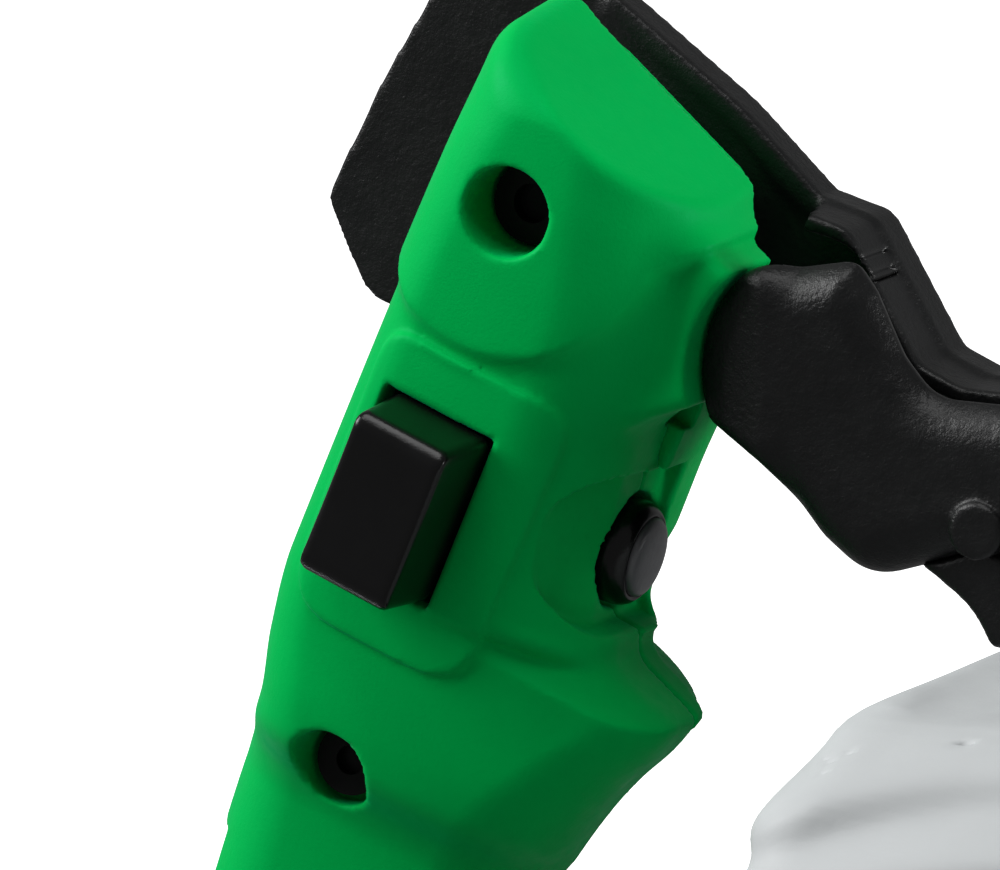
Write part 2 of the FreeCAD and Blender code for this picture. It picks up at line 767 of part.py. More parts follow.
def front_loop():
    x = d.loop_station
    body = doc.addObject("PartDesign::Body", "loop_tube")
    route = rounded_sketch(body, "loop_route", "YZ_Plane", LOOP_ROUTE, closed=False)
    section = new_sketch(body, "loop_section", "XZ_Plane")
    section.addGeometry(Part.Circle(Vector(0, float(LOOP_ROUTE[0][1]), 0), Z_AXIS, float(d.loop_tube_radius)))
    section.AttachmentOffset = Placement(Vector(0, 0, -LOOP_ROUTE[0][0]), Rotation())
    size_rule = section.addConstraint(Sketcher.Constraint("Radius", 0, float(d.loop_tube_radius)))
    section.setExpression(f"Constraints[{size_rule}]", d.loop_tube_radius.text)
    doc.recompute()
    sweep = body.newObject("PartDesign::AdditivePipe", "loop_sweep")
    sweep.Profile = section
    sweep.Spine = route
    doc.recompute()
    place(body, (x, 0.0, shaft_z))
    pivot = shaft_z + d.loop_pivot_height
    base = block("loop_base_block", (x - 12.0, -11.0, shaft_z + 19.5), (x + 12.0, 11.0, shaft_z + 56.0))
    hole = cylinder("loop_pivot_hole", 3.0 + d.running_gap, 24.0, (x, -12.0, pivot), ALONG_Y)
    node("front_handle", cut("front_handle", fuse("loop_blank", body, base), hole))
    ears = [
        block(f"loop_ear_{side}", (x - 11.0, low, shaft_z + 4.0), (x + 11.0, low + 5.0, shaft_z + 32.5))
        for side, low in (("left", 11.4), ("right", -16.4))
    ]
    band = along_shaft("loop_band", d.tube_radius + 5.0, x - 11.0, x + 11.0)
    way = along_shaft("loop_way", d.tube_radius, x - 12.0, x + 12.0)
    clear = cylinder("loop_base_room", 15.0, 22.6, (x, -11.3, pivot), ALONG_Y)
    ear_hole = cylinder("loop_ear_hole", 3.0, 40.0, (x, -20.0, pivot), ALONG_Y)
    blank = fuse("bracket_blank", band, *ears)
    node("front_handle_bracket", cut("front_handle_bracket", blank, way, clear, ear_hole))
    head = cylinder("loop_bolt_head", 5.5, 4.0, (x, -20.4, pivot), ALONG_Y)
    stem = cylinder("loop_bolt_stem", 3.0, 36.0, (x, -16.4, pivot), ALONG_Y)
    bolt = fuse("loop_bolt", head, stem)
    knob = turned(
        "loop_knob",
        [
            (0.0, 0.0), (3.0, 0.0), (9.0, 0.0), (13.0, 4.0),
            (13.0, 10.0), (9.0, 12.0), (3.0, 12.0), (0.0, 12.0),
        ],
        (x, 16.6, pivot),
        ALONG_Y,
    )
    node("front_handle_knob", fuse("front_handle_knob", bolt, knob))


# ---------------------------------------------------------------- engine

def round_block(name, low, high, radius):
    """A box with rounded upright corners, in row coordinates."""
    (x0, y0, z0), (x1, y1, z1) = low, high
    corners = [(x1, y1, radius), (x0, y1, radius), (x0, y0, radius), (x1, y0, radius)]
    return padded(name, corners, z1 - z0, (0.0, 0.0, z0), UPRIGHT)


def crank_set():
    node("clutch_housing", turned(
        "clutch_housing",
        [
            (13.0, 43.0), (18.0, 43.0), (24.0, 33.0), (40.0, 15.0), (44.0, 0.0), (44.0, -8.0),
            (40.0, -8.0), (40.0, -2.0), (34.0, 18.0), (19.0, 26.0), (13.0, 26.0),
        ],
        (47.0, 0.0, shaft_z),
        ALONG_X,
    ))
    case = along_shaft("crankcase_drum", 40.0, -36.0, 38.0)
    neck = block("crankcase_neck", (-30.0, -26.0, shaft_z + 20), (30.0, 26.0, shaft_z + 42))
    room = along_shaft("crankcase_room", 33.0, -30.0, 30.0)
    crank_way = along_shaft("crank_way", d.crank_radius + d.running_gap, -40.0, 40.0)
    sleeve = cylinder("sleeve_way", d.bore_radius, 40.0, (0.0, 0.0, shaft_z + 10))
    node("crankcase", cut("crankcase", fuse("crankcase_blank", case, neck), room, crank_way, sleeve))
    shaft_part = along_shaft("crank_rod", d.crank_radius, -64.0, 60.0)
    webs = along_shaft("crank_webs", d.web_radius, -12.0, 12.0)
    node("crankshaft", fuse("crankshaft", shaft_part, webs))
    shoe_ring = cut(
        "shoe_ring",
        along_shaft("shoes_outer", d.drum_radius - 2.6, 50.0, 60.0),
        along_shaft("shoes_inner", d.crank_radius, 49.0, 61.0),
        block("shoe_slit", (49.0, -30.0, shaft_z - 1.5), (61.0, 30.0, shaft_z + 1.5)),
    )
    node("clutch_shoes", shoe_ring)
    cup = cut(
        "drum_cup",
        along_shaft("drum_outer", d.drum_radius, 49.0, 64.0),
        along_shaft("drum_inner", d.drum_radius - 2.0, 48.0, 62.0),
    )
    hub = along_shaft("drum_hub", 7.0, 64.0, 70.0)
    drum_way = along_shaft("drum_way", d.drive_radius, 62.5, 72.0)
    node("clutch_drum", cut("clutch_drum", fuse("drum_blank", cup, hub), drum_way))
    disc = along_shaft("flywheel_disc", d.flywheel_radius, -62.0, -56.0)
    blades = []
    for index in range(12):
        spin = Rotation(X_AXIS, 30.0 * index)
        centre = (0.0, 0.0, shaft_z)
        blades.append(turned_block(f"fan_blade_{index}", (10.0, 2.0, 18.0), (-51.0, 0.0, 31.0), centre, spin))
    boss = along_shaft("flywheel_boss", 14.0, -62.0, -46.0)
    flywheel_way = along_shaft("flywheel_way", d.crank_radius, -63.0, -40.0)
    node("flywheel", cut("flywheel", fuse("flywheel_blank", disc, boss, *blades), flywheel_way))


def cylinder_set():
    base = shaft_z + 42.0
    core = 23.0
    profile = [(d.bore_radius, 0.0), (d.fin_radius, 0.0)]
    for index in range(6):
        low = 4.0 + 5.0 * index
        profile += [(d.fin_radius, low - 2.0), (core, low - 2.0)]
        profile += [(core, low + 1.0), (d.fin_radius, low + 1.0)]
    profile += [(d.fin_radius, 33.0), (8.0, 38.0), (0.0, 38.0), (0.0, 29.0), (d.bore_radius, 27.0)]
    barrel = turned("cylinder_barrel", profile, (0.0, 0.0, base))
    plug_way = cylinder("plug_way", 5.0, 14.0, (0.0, 0.0, base + 27.0))
    node("cylinder", cut("cylinder", barrel, plug_way))
    node("spark_plug", turned(
        "spark_plug",
        [
            (0.0, 28.0), (4.9, 28.0), (4.9, 38.2), (8.0, 38.2),
            (8.0, 43.0), (4.5, 45.0), (4.0, 54.0), (0.0, 54.0),
        ],
        (0.0, 0.0, base),
    ))
    cap = turned(
        "spark_plug_cap",
        [(5.0, 45.6), (7.6, 45.6), (7.6, 58.0), (5.0, 60.5), (0.0, 60.5), (0.0, 54.0), (5.0, 54.0)],
        (0.0, 0.0, base),
    )
    shell = round_block("muffler_shell", (-26.0, -65.0, shaft_z + 34), (26.0, -36.5, shaft_z + 72), 6.0)
    void = round_block("muffler_void", (-24.0, -63.0, shaft_z + 36), (24.0, -38.5, shaft_z + 70), 4.0)
    inlet = cylinder("muffler_inlet", 7.0, 14.0, (0.0, -34.0, shaft_z + 55), Rotation(X_AXIS, 90))
    outlet = cylinder("muffler_outlet", 5.0, 20.0, (10.0, -60.0, shaft_z + 45), Rotation(X_AXIS, 90))
    node("muffler", cut("muffler", shell, void, inlet, outlet))
    coil_low = (-61.0, -13.0, shaft_z + 44.6)
    coil = round_block("ignition_coil_block", coil_low, (-46.0, 13.0, shaft_z + 60), 3.0)
    node("ignition_coil", group("ignition_coil", [coil, cap]))


COWL_LEVELS = [
    (30.0, 70.0, -2.0, 70.0, 10.0),
    (74.0, 70.0, 0.0, 70.0, 14.0),
    (92.0, 64.0, 0.0, 60.0, 14.0),
    (105.0, 58.6, 0.0, 46.5, 8.0),
    (108.0, 54.0, 4.0, 40.0, 6.0),
]


def cowl_form(name, shrink):
    """A loft of rounded rectangles from the cowl's rim up to its crown."""
    sections = []
    for index, (up, front, back, side, radius) in enumerate(COWL_LEVELS):
        rail = doc.addObject("Part::Feature", f"{name}_rail_{index}")
        x1 = front - shrink
        x0 = float(d.cowl_back) + back + shrink
        y1 = side - shrink
        corners = [(x1, y1, radius), (x0, y1, radius), (x0, -y1, radius), (x1, -y1, radius)]
        edges = [edge.toShape() for edge in rounded_edges(corners)]
        rail.Shape = Part.Wire(edges)
        lowered = shrink if index else 1.0 * (shrink > 0)
        place(rail, (0.0, 0.0, shaft_z + (up - lowered)))
        sections.append(rail)
    form = doc.addObject("Part::Loft", name)
    form.Sections = sections
    form.Solid = True
    form.Ruled = True
    return form


def cowl():
    outer = cowl_form("cowl_outer", 0.0)
    inner = cowl_form("cowl_inner", float(d.cowl_wall))
    tools = [
        inner,
        cylinder("primer_hole", 9.5, 10.0, (48.0, 64.0, shaft_z + 46), ALONG_Y),
        cylinder("muffler_window", 6.0, 10.0, (10.0, -64.0, shaft_z + 45), Rotation(X_AXIS, 90)),
        cylinder("cowl_cable_hole", 3.4, 14.0, (handle_x - 143.0, -1.0, shaft_z + 100)),
        along_shaft("cowl_room", 45.0, -60.0, 80.0),
    ]
    for index in range(5):
        z = 44.0 + 7.0 * index
        tools.append(block(f"cowl_slot_{index}", (-30.0, -72.0, shaft_z + z), (0.0, -66.0, shaft_z + z + 3)))
    node("engine_cowl", cut("engine_cowl", outer, *tools))


def intake():
    top = shaft_z + 62.0
    low = shaft_z + 40.0
    flange = block("intake_flange", (-16.0, 34.6, low), (16.0, 42.5, top))
    body = block("carburettor_block", (-17.0, 42.0, low - 2), (17.0, 64.0, top + 2))
    throat = cylinder("carburettor_throat", 8.0, 40.0, (0.0, 36.0, shaft_z + 51), ALONG_Y)
    node("carburettor", cut("carburettor", fuse("carburettor_blank", body, flange), throat))
    lever = round_block("lever_arm", (-16.0, 49.0, top + 2.3), (6.0, 57.0, top + 4.3), 3.0)
    boss = cylinder("lever_boss", 3.4, 4.0, (-12.0, 53.0, top + 2.3))
    node("throttle_lever", fuse("throttle_lever", lever, boss))
    cover_low = (-32.0, 70.4, shaft_z + 22)
    cover_high = (34.0, 96.0, shaft_z + 76)
    shell = round_block("filter_shell", cover_low, cover_high, 9.0)
    void = round_block("filter_void", (-29.5, 69.0, shaft_z + 24.5), (31.5, 93.5, shaft_z + 73.5), 6.5)
    lever_hole = cylinder("choke_pivot_hole", 2.6, 10.0, (22.0, 90.0, shaft_z + 66), ALONG_Y)
    node("air_filter_cover", cut("air_filter_cover", shell, void, lever_hole))
    foam_low = (-26.0, 72.0, shaft_z + 28)
    node("air_filter", round_block("air_filter", foam_low, (16.0, 88.0, shaft_z + 68), 5.0))
    stem = cylinder("choke_stem", 2.5, 12.0, (22.0, 87.0, shaft_z + 66), ALONG_Y)
    arm = padded(
        "choke_arm",
        [
            (27.0, 59.0, 4.0), (27.0, 71.0, 5.0), (16.0, 71.0, 5.0),
            (-6.0, 69.0, 3.0), (-6.0, 63.0, 3.0), (16.0, 60.0, 4.0),
        ],
        4.0,
        (0.0, 100.4, shaft_z),
        SIDE,
    )
    node("choke_lever", fuse("choke_lever", stem, arm))
    node("primer_bulb", turned(
        "primer_bulb",
        [(0.0, -3.0), (9.0, -3.0), (9.0, 4.0), (7.6, 7.6), (4.2, 10.0), (0.0, 10.8)],
        (48.0, 70.0, shaft_z + 46),
        ALONG_Y,
    ))


def fuel_system():
    side = d.tank_half_width
    low = d.foot_thickness + 0.3
    high = shaft_z - 44.5
    outer = round_block("tank_outer", (-37.0, -side, low), (66.0, side, high), 14.0)
    inner = round_block("tank_inner", (-34.5, -side + 2.5, low + 2.5), (63.5, side - 2.5, high - 2.5), 11.5)
    neck = cylinder("tank_neck", 13.0, 12.0, (40.0, side - 3, 58.0), ALONG_Y)
    mouth = cylinder("tank_mouth", 10.5, 20.0, (40.0, side - 8, 58.0), ALONG_Y)
    node("fuel_tank", cut("fuel_tank", fuse("tank_blank", cut("tank_shell", outer, inner), neck), mouth))
    radius = d.cap_radius
    node("fuel_cap", turned(
        "fuel_cap",
        [
            (13.4, 0.0), (radius, 0.0), (radius, 11.0), (radius - 2.0, 13.0),
            (0.0, 13.0), (0.0, 9.6), (13.4, 9.6),
        ],
        (40.0, side + 0.3, 58.0),
        ALONG_Y,
    ))


def engine_stand():
    half_width = d.foot_half_width
    thick = d.foot_thickness
    foot = round_block("stand_foot", (-45.0, -half_width, 0.0), (72.0, half_width, thick), 12.0)
    parts = [foot]
    for side in (-1, 1):
        outer = half_width * side
        inner = (half_width - 6.0) * side
        low, high = (inner, outer) if side > 0 else (outer, inner)
        parts.append(block(f"stand_post_{side + 1}", (-14.0, low, thick - 1), (14.0, high, shaft_z - 6)))
        root = 37.0 * side
        low, high = (root, outer) if side > 0 else (outer, root)
        parts.append(block(f"stand_arm_{side + 1}", (-14.0, low, shaft_z - 16), (14.0, high, shaft_z - 6)))
    room = along_shaft("stand_room", 40.0, -20.0, 20.0)
    node("engine_stand", cut("engine_stand", fuse("stand_blank", *parts), room))


def starter():
    radius = d.starter_radius
    node("starter_housing", cut(
        "starter_housing",
        turned(
            "starter_shell",
            [
                (0.0, 0.0), (radius - 12, 0.0), (radius, 10.0),
                (radius, 62.0), (radius - 3, 62.0), (radius - 3, 11.0),
                (radius - 13, 3.0), (6.0, 3.0), (6.0, 20.0), (0.0, 20.0),
            ],
            (-105.0, 0.0, shaft_z),
            ALONG_X,
        ),
        cylinder("rope_way", 3.0, 60.0, (-89.0, 20.0, shaft_z + 27.1), ALONG_Y),
    ))
    groove = d.pulley_radius
    node("starter_pulley", turned(
        "starter_pulley",
        [
            (6.05, 4.0), (31.0, 4.0), (31.0, 6.0), (groove, 6.0),
            (groove, 13.0), (31.0, 13.0), (31.0, 15.0), (6.05, 15.0),
        ],
        (-98.5, 0.0, shaft_z),
        ALONG_X,
    ))
    rope_up = shaft_z + groove + d.rope_radius + 0.35
    node("starter_rope", cylinder("starter_rope", d.rope_radius, 60.0, (-89.0, 2.0, rope_up), ALONG_Y))
    bar = round_block("grip_bar", (-112.0, 62.0, rope_up - 7), (-66.0, 76.0, rope_up + 7), 6.0)
    node("starter_grip", bar)


# ---------------------------------------------------------------- cutting head

head_origin = (d.gear_station, 0.0, shaft_z)
BACK_ALONG_X = Rotation(Y_AXIS, -90)


def head_turned(name, corners, **more):
    return turned(name, corners, head_origin, TILT, **more)


def gashed(name, blank, teeth, reach, turn, centre):
    """Cuts straight tooth gashes into a cone's face."""
    gaps = []
    for index in range(int(float(teeth))):
        spin = turn * Rotation(Z_AXIS, 360.0 * index / float(teeth))
        offset = (reach, 0.0, centre)
        gaps.append(turned_block(f"{name}_gash_{index}", (3.0, 1.6, 14.0), offset, head_origin, spin))
    return cut(name, blank, *gaps)


def gear_head():
    radius = d.case_radius
    barrel = head_turned("case_barrel", ring(0.0, radius, -34.0, 26.0))
    socket = along_shaft("case_socket", 18.0, d.gear_station - 64.0, d.gear_station)
    tools = [
        along_shaft("case_tube_way", d.tube_radius, d.gear_station - 65.0, d.tube_end),
        along_shaft("case_pinion_room", 12.0, d.tube_end - 1, d.gear_station),
        head_turned("case_gear_room", ring(0.0, 17.0, 0.5, 23.0)),
        head_turned("case_bearing_room", ring(0.0, 14.0, -35.0, 1.0)),
    ]
    node("gear_case", cut("gear_case", fuse("gear_case_blank", barrel, socket), *tools))
    rings = []
    for index, low in enumerate((-12.0, -32.0)):
        rings.append(head_turned(f"bearing_{index}", ring(5.05, 14.0, low, low + 8.0)))
    node("output_bearings", group("output_bearings", rings))
    pinion_profile = [(4.0, 11.0), (4.6, 11.0), (8.6, 19.5), (8.6, 24.0), (4.0, 24.0)]
    pinion = turned("pinion_blank", pinion_profile, head_origin, BACK_ALONG_X)
    node("drive_pinion", gashed("drive_pinion", pinion, d.pinion_teeth, 7.6, BACK_ALONG_X, 15.0))
    wheel = head_turned("gear_blank", [(5.0, 13.0), (7.4, 13.0), (12.6, 20.6), (5.0, 20.6)])
    node("output_gear", gashed("output_gear", wheel, d.gear_teeth, 11.4, TILT, 15.0))
    spindle = d.output_radius
    node("output_shaft", head_turned("output_shaft", [
        (0.0, 22.0), (spindle, 22.0), (spindle, -42.0), (22.0, -42.0), (22.0, -46.0), (spindle, -46.0),
        (spindle, -75.0), (0.0, -75.0),
    ]))


def cutting_head():
    radius = d.head_radius
    housing = head_turned("spool_housing_shell", [
        (5.0, -46.2), (16.0, -46.2), (24.0, -50.0), (radius - 4, -50.0), (radius, -54.0), (radius, -74.0),
        (radius - 3, -74.0), (radius - 3, -55.0), (radius - 6, -53.0), (5.0, -53.0),
    ])
    eyelets = []
    lines = []
    ways = []
    for side in (0, 180):
        out = TILT * Rotation(Z_AXIS, side + 55) * ALONG_X
        inner = TILT.multVec(Rotation(Z_AXIS, side + 55).multVec(Vector(float(radius) - 4.0, 0, -64.0)))
        start = (head_origin[0] + inner.x, inner.y, head_origin[2] + inner.z)
        eyelets.append(cylinder(f"eyelet_{side}", 4.0, 5.0, start, out))
        ways.append(cylinder(f"eyelet_hole_{side}", d.line_radius + 0.3, 9.0, start, out))
        lines.append(cylinder(f"line_{side}", d.line_radius, d.line_reach - radius + 4, start, out))
    node("spool_housing", cut("spool_housing", fuse("spool_housing_blank", housing, *eyelets), *ways))
    node("cutting_line", group("cutting_line", lines))
    node("line_spool", head_turned("line_spool", [
        (15.0, -54.0), (46.0, -54.0), (46.0, -56.5), (22.0, -56.5),
        (22.0, -72.0), (46.0, -72.0), (46.0, -75.0), (15.0, -75.0),
    ]))
    node("spool_spring", head_turned("spool_spring", ring(9.0, 12.0, -72.0, -54.0)))
    node("bump_knob", head_turned("bump_knob", [
        (5.3, -66.0), (8.0, -66.0), (8.0, -80.0), (30.0, -80.0), (30.0, -84.0), (24.0, -91.0), (12.0, -94.0),
        (0.0, -94.6), (0.0, -82.0), (5.3, -82.0),
    ]))


def guard():
    radius = d.guard_radius
    tilt = math.radians(float(d.head_tilt))
    skirt = (shaft_z - radius * math.sin(tilt)) / math.cos(tilt)
    wall = d.guard_wall
    top = -37.0
    back = TILT * Rotation(Z_AXIS, 180)
    inner = d.guard_band_radius
    inside = radius - wall
    profile = [
        (inner, top), (radius, top), (radius, -skirt),
        (inside, -skirt), (inside, top - wall), (inner, top - wall),
    ]
    fan = turned("debris_guard", profile, head_origin, back, sweep=d.guard_angle)
    node("debris_guard", fan)
    band = cut(
        "guard_band",
        head_turned("guard_band_outer", ring(0.0, d.guard_band_radius, -33.0, -22.0)),
        head_turned("guard_band_inner", ring(0.0, d.case_radius, -40.0, -10.0)),
    )
    tab = turned_block("guard_tab", (34.0, 44.0, 4.0), (-42.0, 0.0, top + 2.0), head_origin, TILT)
    riser = turned_block("guard_riser", (6.0, 30.0, 14.0), (-29.0, 0.0, -29.0), head_origin, TILT)
    clear = head_turned("guard_clear", ring(0.0, d.case_radius, -45.0, -5.0))
    node("guard_bracket", cut("guard_bracket", fuse("guard_bracket_blank", band, tab, riser), clear))
    blade_turn = TILT * Rotation(Z_AXIS, 180 - 58)
    blade_spot = (inside - 7.2, 0.0, -55.0)
    blade = turned_block("line_cutter", (14.0, 2.0, 16.0), blade_spot, head_origin, blade_turn)
    node("line_cutter", blade)


# ---------------------------------------------------------------- throttle cable

CABLE_RADIUS = 1.5
CABLE_TURN = 0.45


def tube_path(spots):
    """Straight runs joined by tangent arcs, each as large as its two runs allow."""
    edges = []
    start = spots[0]
    radii = []
    for before, spot, after in zip(spots, spots[1:], spots[2:]):
        back = before - spot
        ahead = after - spot
        reach = CABLE_TURN * min(back.Length, ahead.Length)
        back.normalize()
        ahead.normalize()
        half_turn = (math.pi - back.getAngle(ahead)) / 2
        radius = reach / math.tan(half_turn)
        middle = back + ahead
        middle.normalize()
        centre = spot + middle * (radius / math.cos(half_turn))
        arc = Part.Arc(spot + back * reach, centre - middle * radius, spot + ahead * reach)
        edges.append(Part.LineSegment(start, arc.StartPoint).toShape())
        edges.append(arc.toShape())
        start = arc.EndPoint
        radii.append(round(radius, 1))
    edges.append(Part.LineSegment(start, spots[-1]).toShape())
    print("cable arc radii", radii)
    return Part.Wire(edges)


def throttle_cable():
    handle_spots = [
        (-5.0, -8.0, -32.0), (-9.6, -8.0, -20.0), (-9.0, -8.0, -4.0),
        (-6.5, -8.0, 12.0), (-6.0, -6.0, 25.0),
        (-10.0, -3.0, 35.0), (-21.0, -2.2, 37.5), (-34.0, -1.0, 37.0),
    ]
    spots = [Vector(*[float(part) for part in in_handle(*spot)]) for spot in handle_spots]
    x = float(handle_x)
    z = float(handle_z)
    later = [
        (x - 60.0, -1.0, z + 14.0), (x - 80.0, -1.0, z + 15.0), (x - 104.0, -1.0, z + 16.5),
        (x - 126.0, -1.0, z + 15.5), (x - 141.0, -1.0, z + 9.5), (x - 143.0, -1.0, z - 8.0),
        (x - 142.0, 10.0, z - 21.0), (x - 140.0, 26.0, z - 26.0), (x - 134.0, 40.0, z - 30.0),
        (x - 127.0, 50.0, z - 37.5),
    ]
    spots += [Vector(*spot) for spot in later]
    path = tube_path(spots)
    first = path.Edges[0]
    section = Part.Wire(Part.Circle(spots[0], first.tangentAt(first.FirstParameter), CABLE_RADIUS).toShape())
    cable = doc.addObject("Part::Feature", "throttle_cable")
    cable.Shape = path.makePipeShell([section], True, False)
    volume = math.pi * CABLE_RADIUS**2 * path.Length
    print("cable length", round(path.Length), "volume share", round(cable.Shape.Volume / volume, 3))
    node("throttle_cable", cable)


# ---------------------------------------------------------------- assembly

handle_shells(trigger_set())
screws = handle_fasteners()
lock_button()
stop_switch()
bow()
bow_fixings()
shaft()
handle_clamp(screws)
harness_eyelet()
front_loop()
crank_set()
cylinder_set()
cowl()
intake()
fuel_system()
engine_stand()
starter()
gear_head()
cutting_head()
guard()
throttle_cable()
doc.recompute()

failures = [thing.Name for thing in doc.Objects if "Invalid" in thing.State or "Error" in thing.State]
for label, piece in nodes.items():
    if piece.Shape.isNull() or not piece.Shape.isValid():
        failures.append(label)
if failures:
    raise RuntimeError("failed objects: " + ", ".join(failures))

os.makedirs("parts", exist_ok=True)
for label, piece in nodes.items():
    piece.Shape.exportStep(f"parts/{label}.step")
print(len(nodes), "nodes written")
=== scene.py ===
import json
import math

import bpy
import numpy as np
from mathutils import Matrix, Vector


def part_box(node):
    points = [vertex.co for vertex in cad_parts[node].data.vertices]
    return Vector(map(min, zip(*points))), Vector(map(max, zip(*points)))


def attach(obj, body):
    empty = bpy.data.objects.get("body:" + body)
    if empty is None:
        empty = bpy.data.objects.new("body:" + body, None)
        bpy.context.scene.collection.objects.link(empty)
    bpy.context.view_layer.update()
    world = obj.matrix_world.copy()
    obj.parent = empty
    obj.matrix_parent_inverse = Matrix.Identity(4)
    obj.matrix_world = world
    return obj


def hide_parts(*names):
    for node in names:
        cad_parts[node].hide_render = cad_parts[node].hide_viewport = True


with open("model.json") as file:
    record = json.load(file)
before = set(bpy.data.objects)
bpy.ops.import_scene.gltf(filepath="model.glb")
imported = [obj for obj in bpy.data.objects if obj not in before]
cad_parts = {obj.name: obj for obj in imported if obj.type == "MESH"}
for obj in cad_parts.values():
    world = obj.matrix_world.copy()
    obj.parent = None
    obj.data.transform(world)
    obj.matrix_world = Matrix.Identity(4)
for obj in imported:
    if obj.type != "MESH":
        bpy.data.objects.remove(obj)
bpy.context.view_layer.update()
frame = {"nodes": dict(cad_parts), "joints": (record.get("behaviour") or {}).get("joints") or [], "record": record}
nodes = frame["nodes"]
joints = {joint["name"]: joint for joint in frame["joints"]}
MM = 0.001

# ---------------------------------------------------------------- the handle's own frame

# forward and up lean with the handle; its origin lies beside the tip of the rear beak
forward = Vector(joints["lock_button_press"]["axis"])
up = Vector((-forward.z, 0.0, forward.x))
TRIGGER_PIVOT = (-1.0, -38.0)
handle_origin = Vector(joints["trigger_pull"]["pos_m"])
handle_origin -= forward * TRIGGER_PIVOT[0] * MM + up * TRIGGER_PIVOT[1] * MM
HANDLE = Matrix((
    (forward.x, 0.0, up.x, handle_origin.x),
    (forward.y, 1.0, up.y, handle_origin.y),
    (forward.z, 0.0, up.z, handle_origin.z),
    (0.0, 0.0, 0.0, 1.0),
))
ROW = Matrix.Identity(4)


# ---------------------------------------------------------------- solid forms as distance fields, in mm

def ramp(x, start, end):
    share = np.clip((x - start) / (end - start), 0.0, 1.0)
    return share * share * (3.0 - 2.0 * share)


def curve(x, points):
    """A smooth curve through (x, value) points, with no overshoot. A repeated x makes a step."""
    knots = np.array([point[0] for point in points], float)
    values = np.array([point[1] for point in points], float)
    run = np.diff(knots)
    slope = np.diff(values) / run
    tangent = np.concatenate(([slope[0]], (slope[:-1] + slope[1:]) / 2, [slope[-1]]))
    turning = np.concatenate(([False], slope[:-1] * slope[1:] <= 0, [False]))
    tangent[turning] = 0.0
    clipped = np.clip(x, knots[0], knots[-1])
    place = np.clip(np.searchsorted(knots, clipped) - 1, 0, len(run) - 1)
    width = run[place]
    share = (clipped - knots[place]) / width
    rest = 1.0 - share
    return (
        values[place] * rest * rest * (1.0 + 2.0 * share)
        + tangent[place] * width * share * rest * rest
        + values[place + 1] * share * share * (3.0 - 2.0 * share)
        - tangent[place + 1] * width * share * share * rest
    )


def join(a, b, radius=0.0):
    """Either field, with a soft fillet of about that radius in the inner corner."""
    if radius <= 0.0:
        return np.minimum(a, b)
    overlap = np.maximum(radius - np.abs(a - b), 0.0) / radius
    return np.minimum(a, b) - overlap * overlap * radius * 0.25


def common(a, b, radius=0.0):
    return -join(-a, -b, radius)


def cut(a, b, radius=0.0):
    return common(a, -b, radius)


def rounded(a, b, radius):
    """Both fields together, with a true round of that radius where they meet."""
    raised_a = np.maximum(a + radius, 0.0)
    raised_b = np.maximum(b + radius, 0.0)
    return np.hypot(raised_a, raised_b) - radius + np.minimum(np.maximum(a, b) + radius, 0.0)


def slab(x, low, high):
    return np.maximum(low - x, x - high)


def disc(x, z, centre, radius):
    return np.hypot(x - centre[0], z - centre[1]) - radius


def rounded_corners(outline, steps=6):
    """The outline's points with each (x, z, radius) corner rounded by an arc."""
    points = []
    count = len(outline)
    for index, (x, z, radius) in enumerate(outline):
        spot = Vector((x, z))
        back = Vector(outline[index - 1][:2]) - spot
        ahead = Vector(outline[(index + 1) % count][:2]) - spot
        half_angle = back.angle(ahead) / 2
        reach = min(radius / math.tan(half_angle), 0.49 * back.length, 0.49 * ahead.length)
        if reach < 0.05:
            points.append(spot)
            continue
        for step in range(steps + 1):
            share = step / steps
            start = spot + back.normalized() * reach * (1 - share)
            end = spot + ahead.normalized() * reach * share
            points.append(start.lerp(end, share))
    return points


def outline_field(x, z, outline):
    """Signed distance to a closed outline of (x, z, corner radius) points, on the plane of x and z."""
    points = rounded_corners(outline)
    nearest = np.full(np.broadcast(x, z).shape, 1e9)
    inside = np.zeros(nearest.shape, bool)
    for start, end in zip(points, points[1:] + points[:1]):
        edge_x = end.x - start.x
        edge_z = end.y - start.y
        length = edge_x * edge_x + edge_z * edge_z
        if length < 1e-9:
            continue
        share = np.clip(((x - start.x) * edge_x + (z - start.y) * edge_z) / length, 0.0, 1.0)
        away = (x - start.x - share * edge_x) ** 2 + (z - start.y - share * edge_z) ** 2
        nearest = np.minimum(nearest, away)
        crosses = (start.y > z) != (end.y > z)
        if edge_z != 0.0:
            inside ^= crosses & (x < start.x + (z - start.y) * edge_x / edge_z)
    return np.where(inside, -1.0, 1.0) * np.sqrt(nearest)


def grid(low, high, step):
    return np.linspace(low, high, int(round((high - low) / step)) + 1)


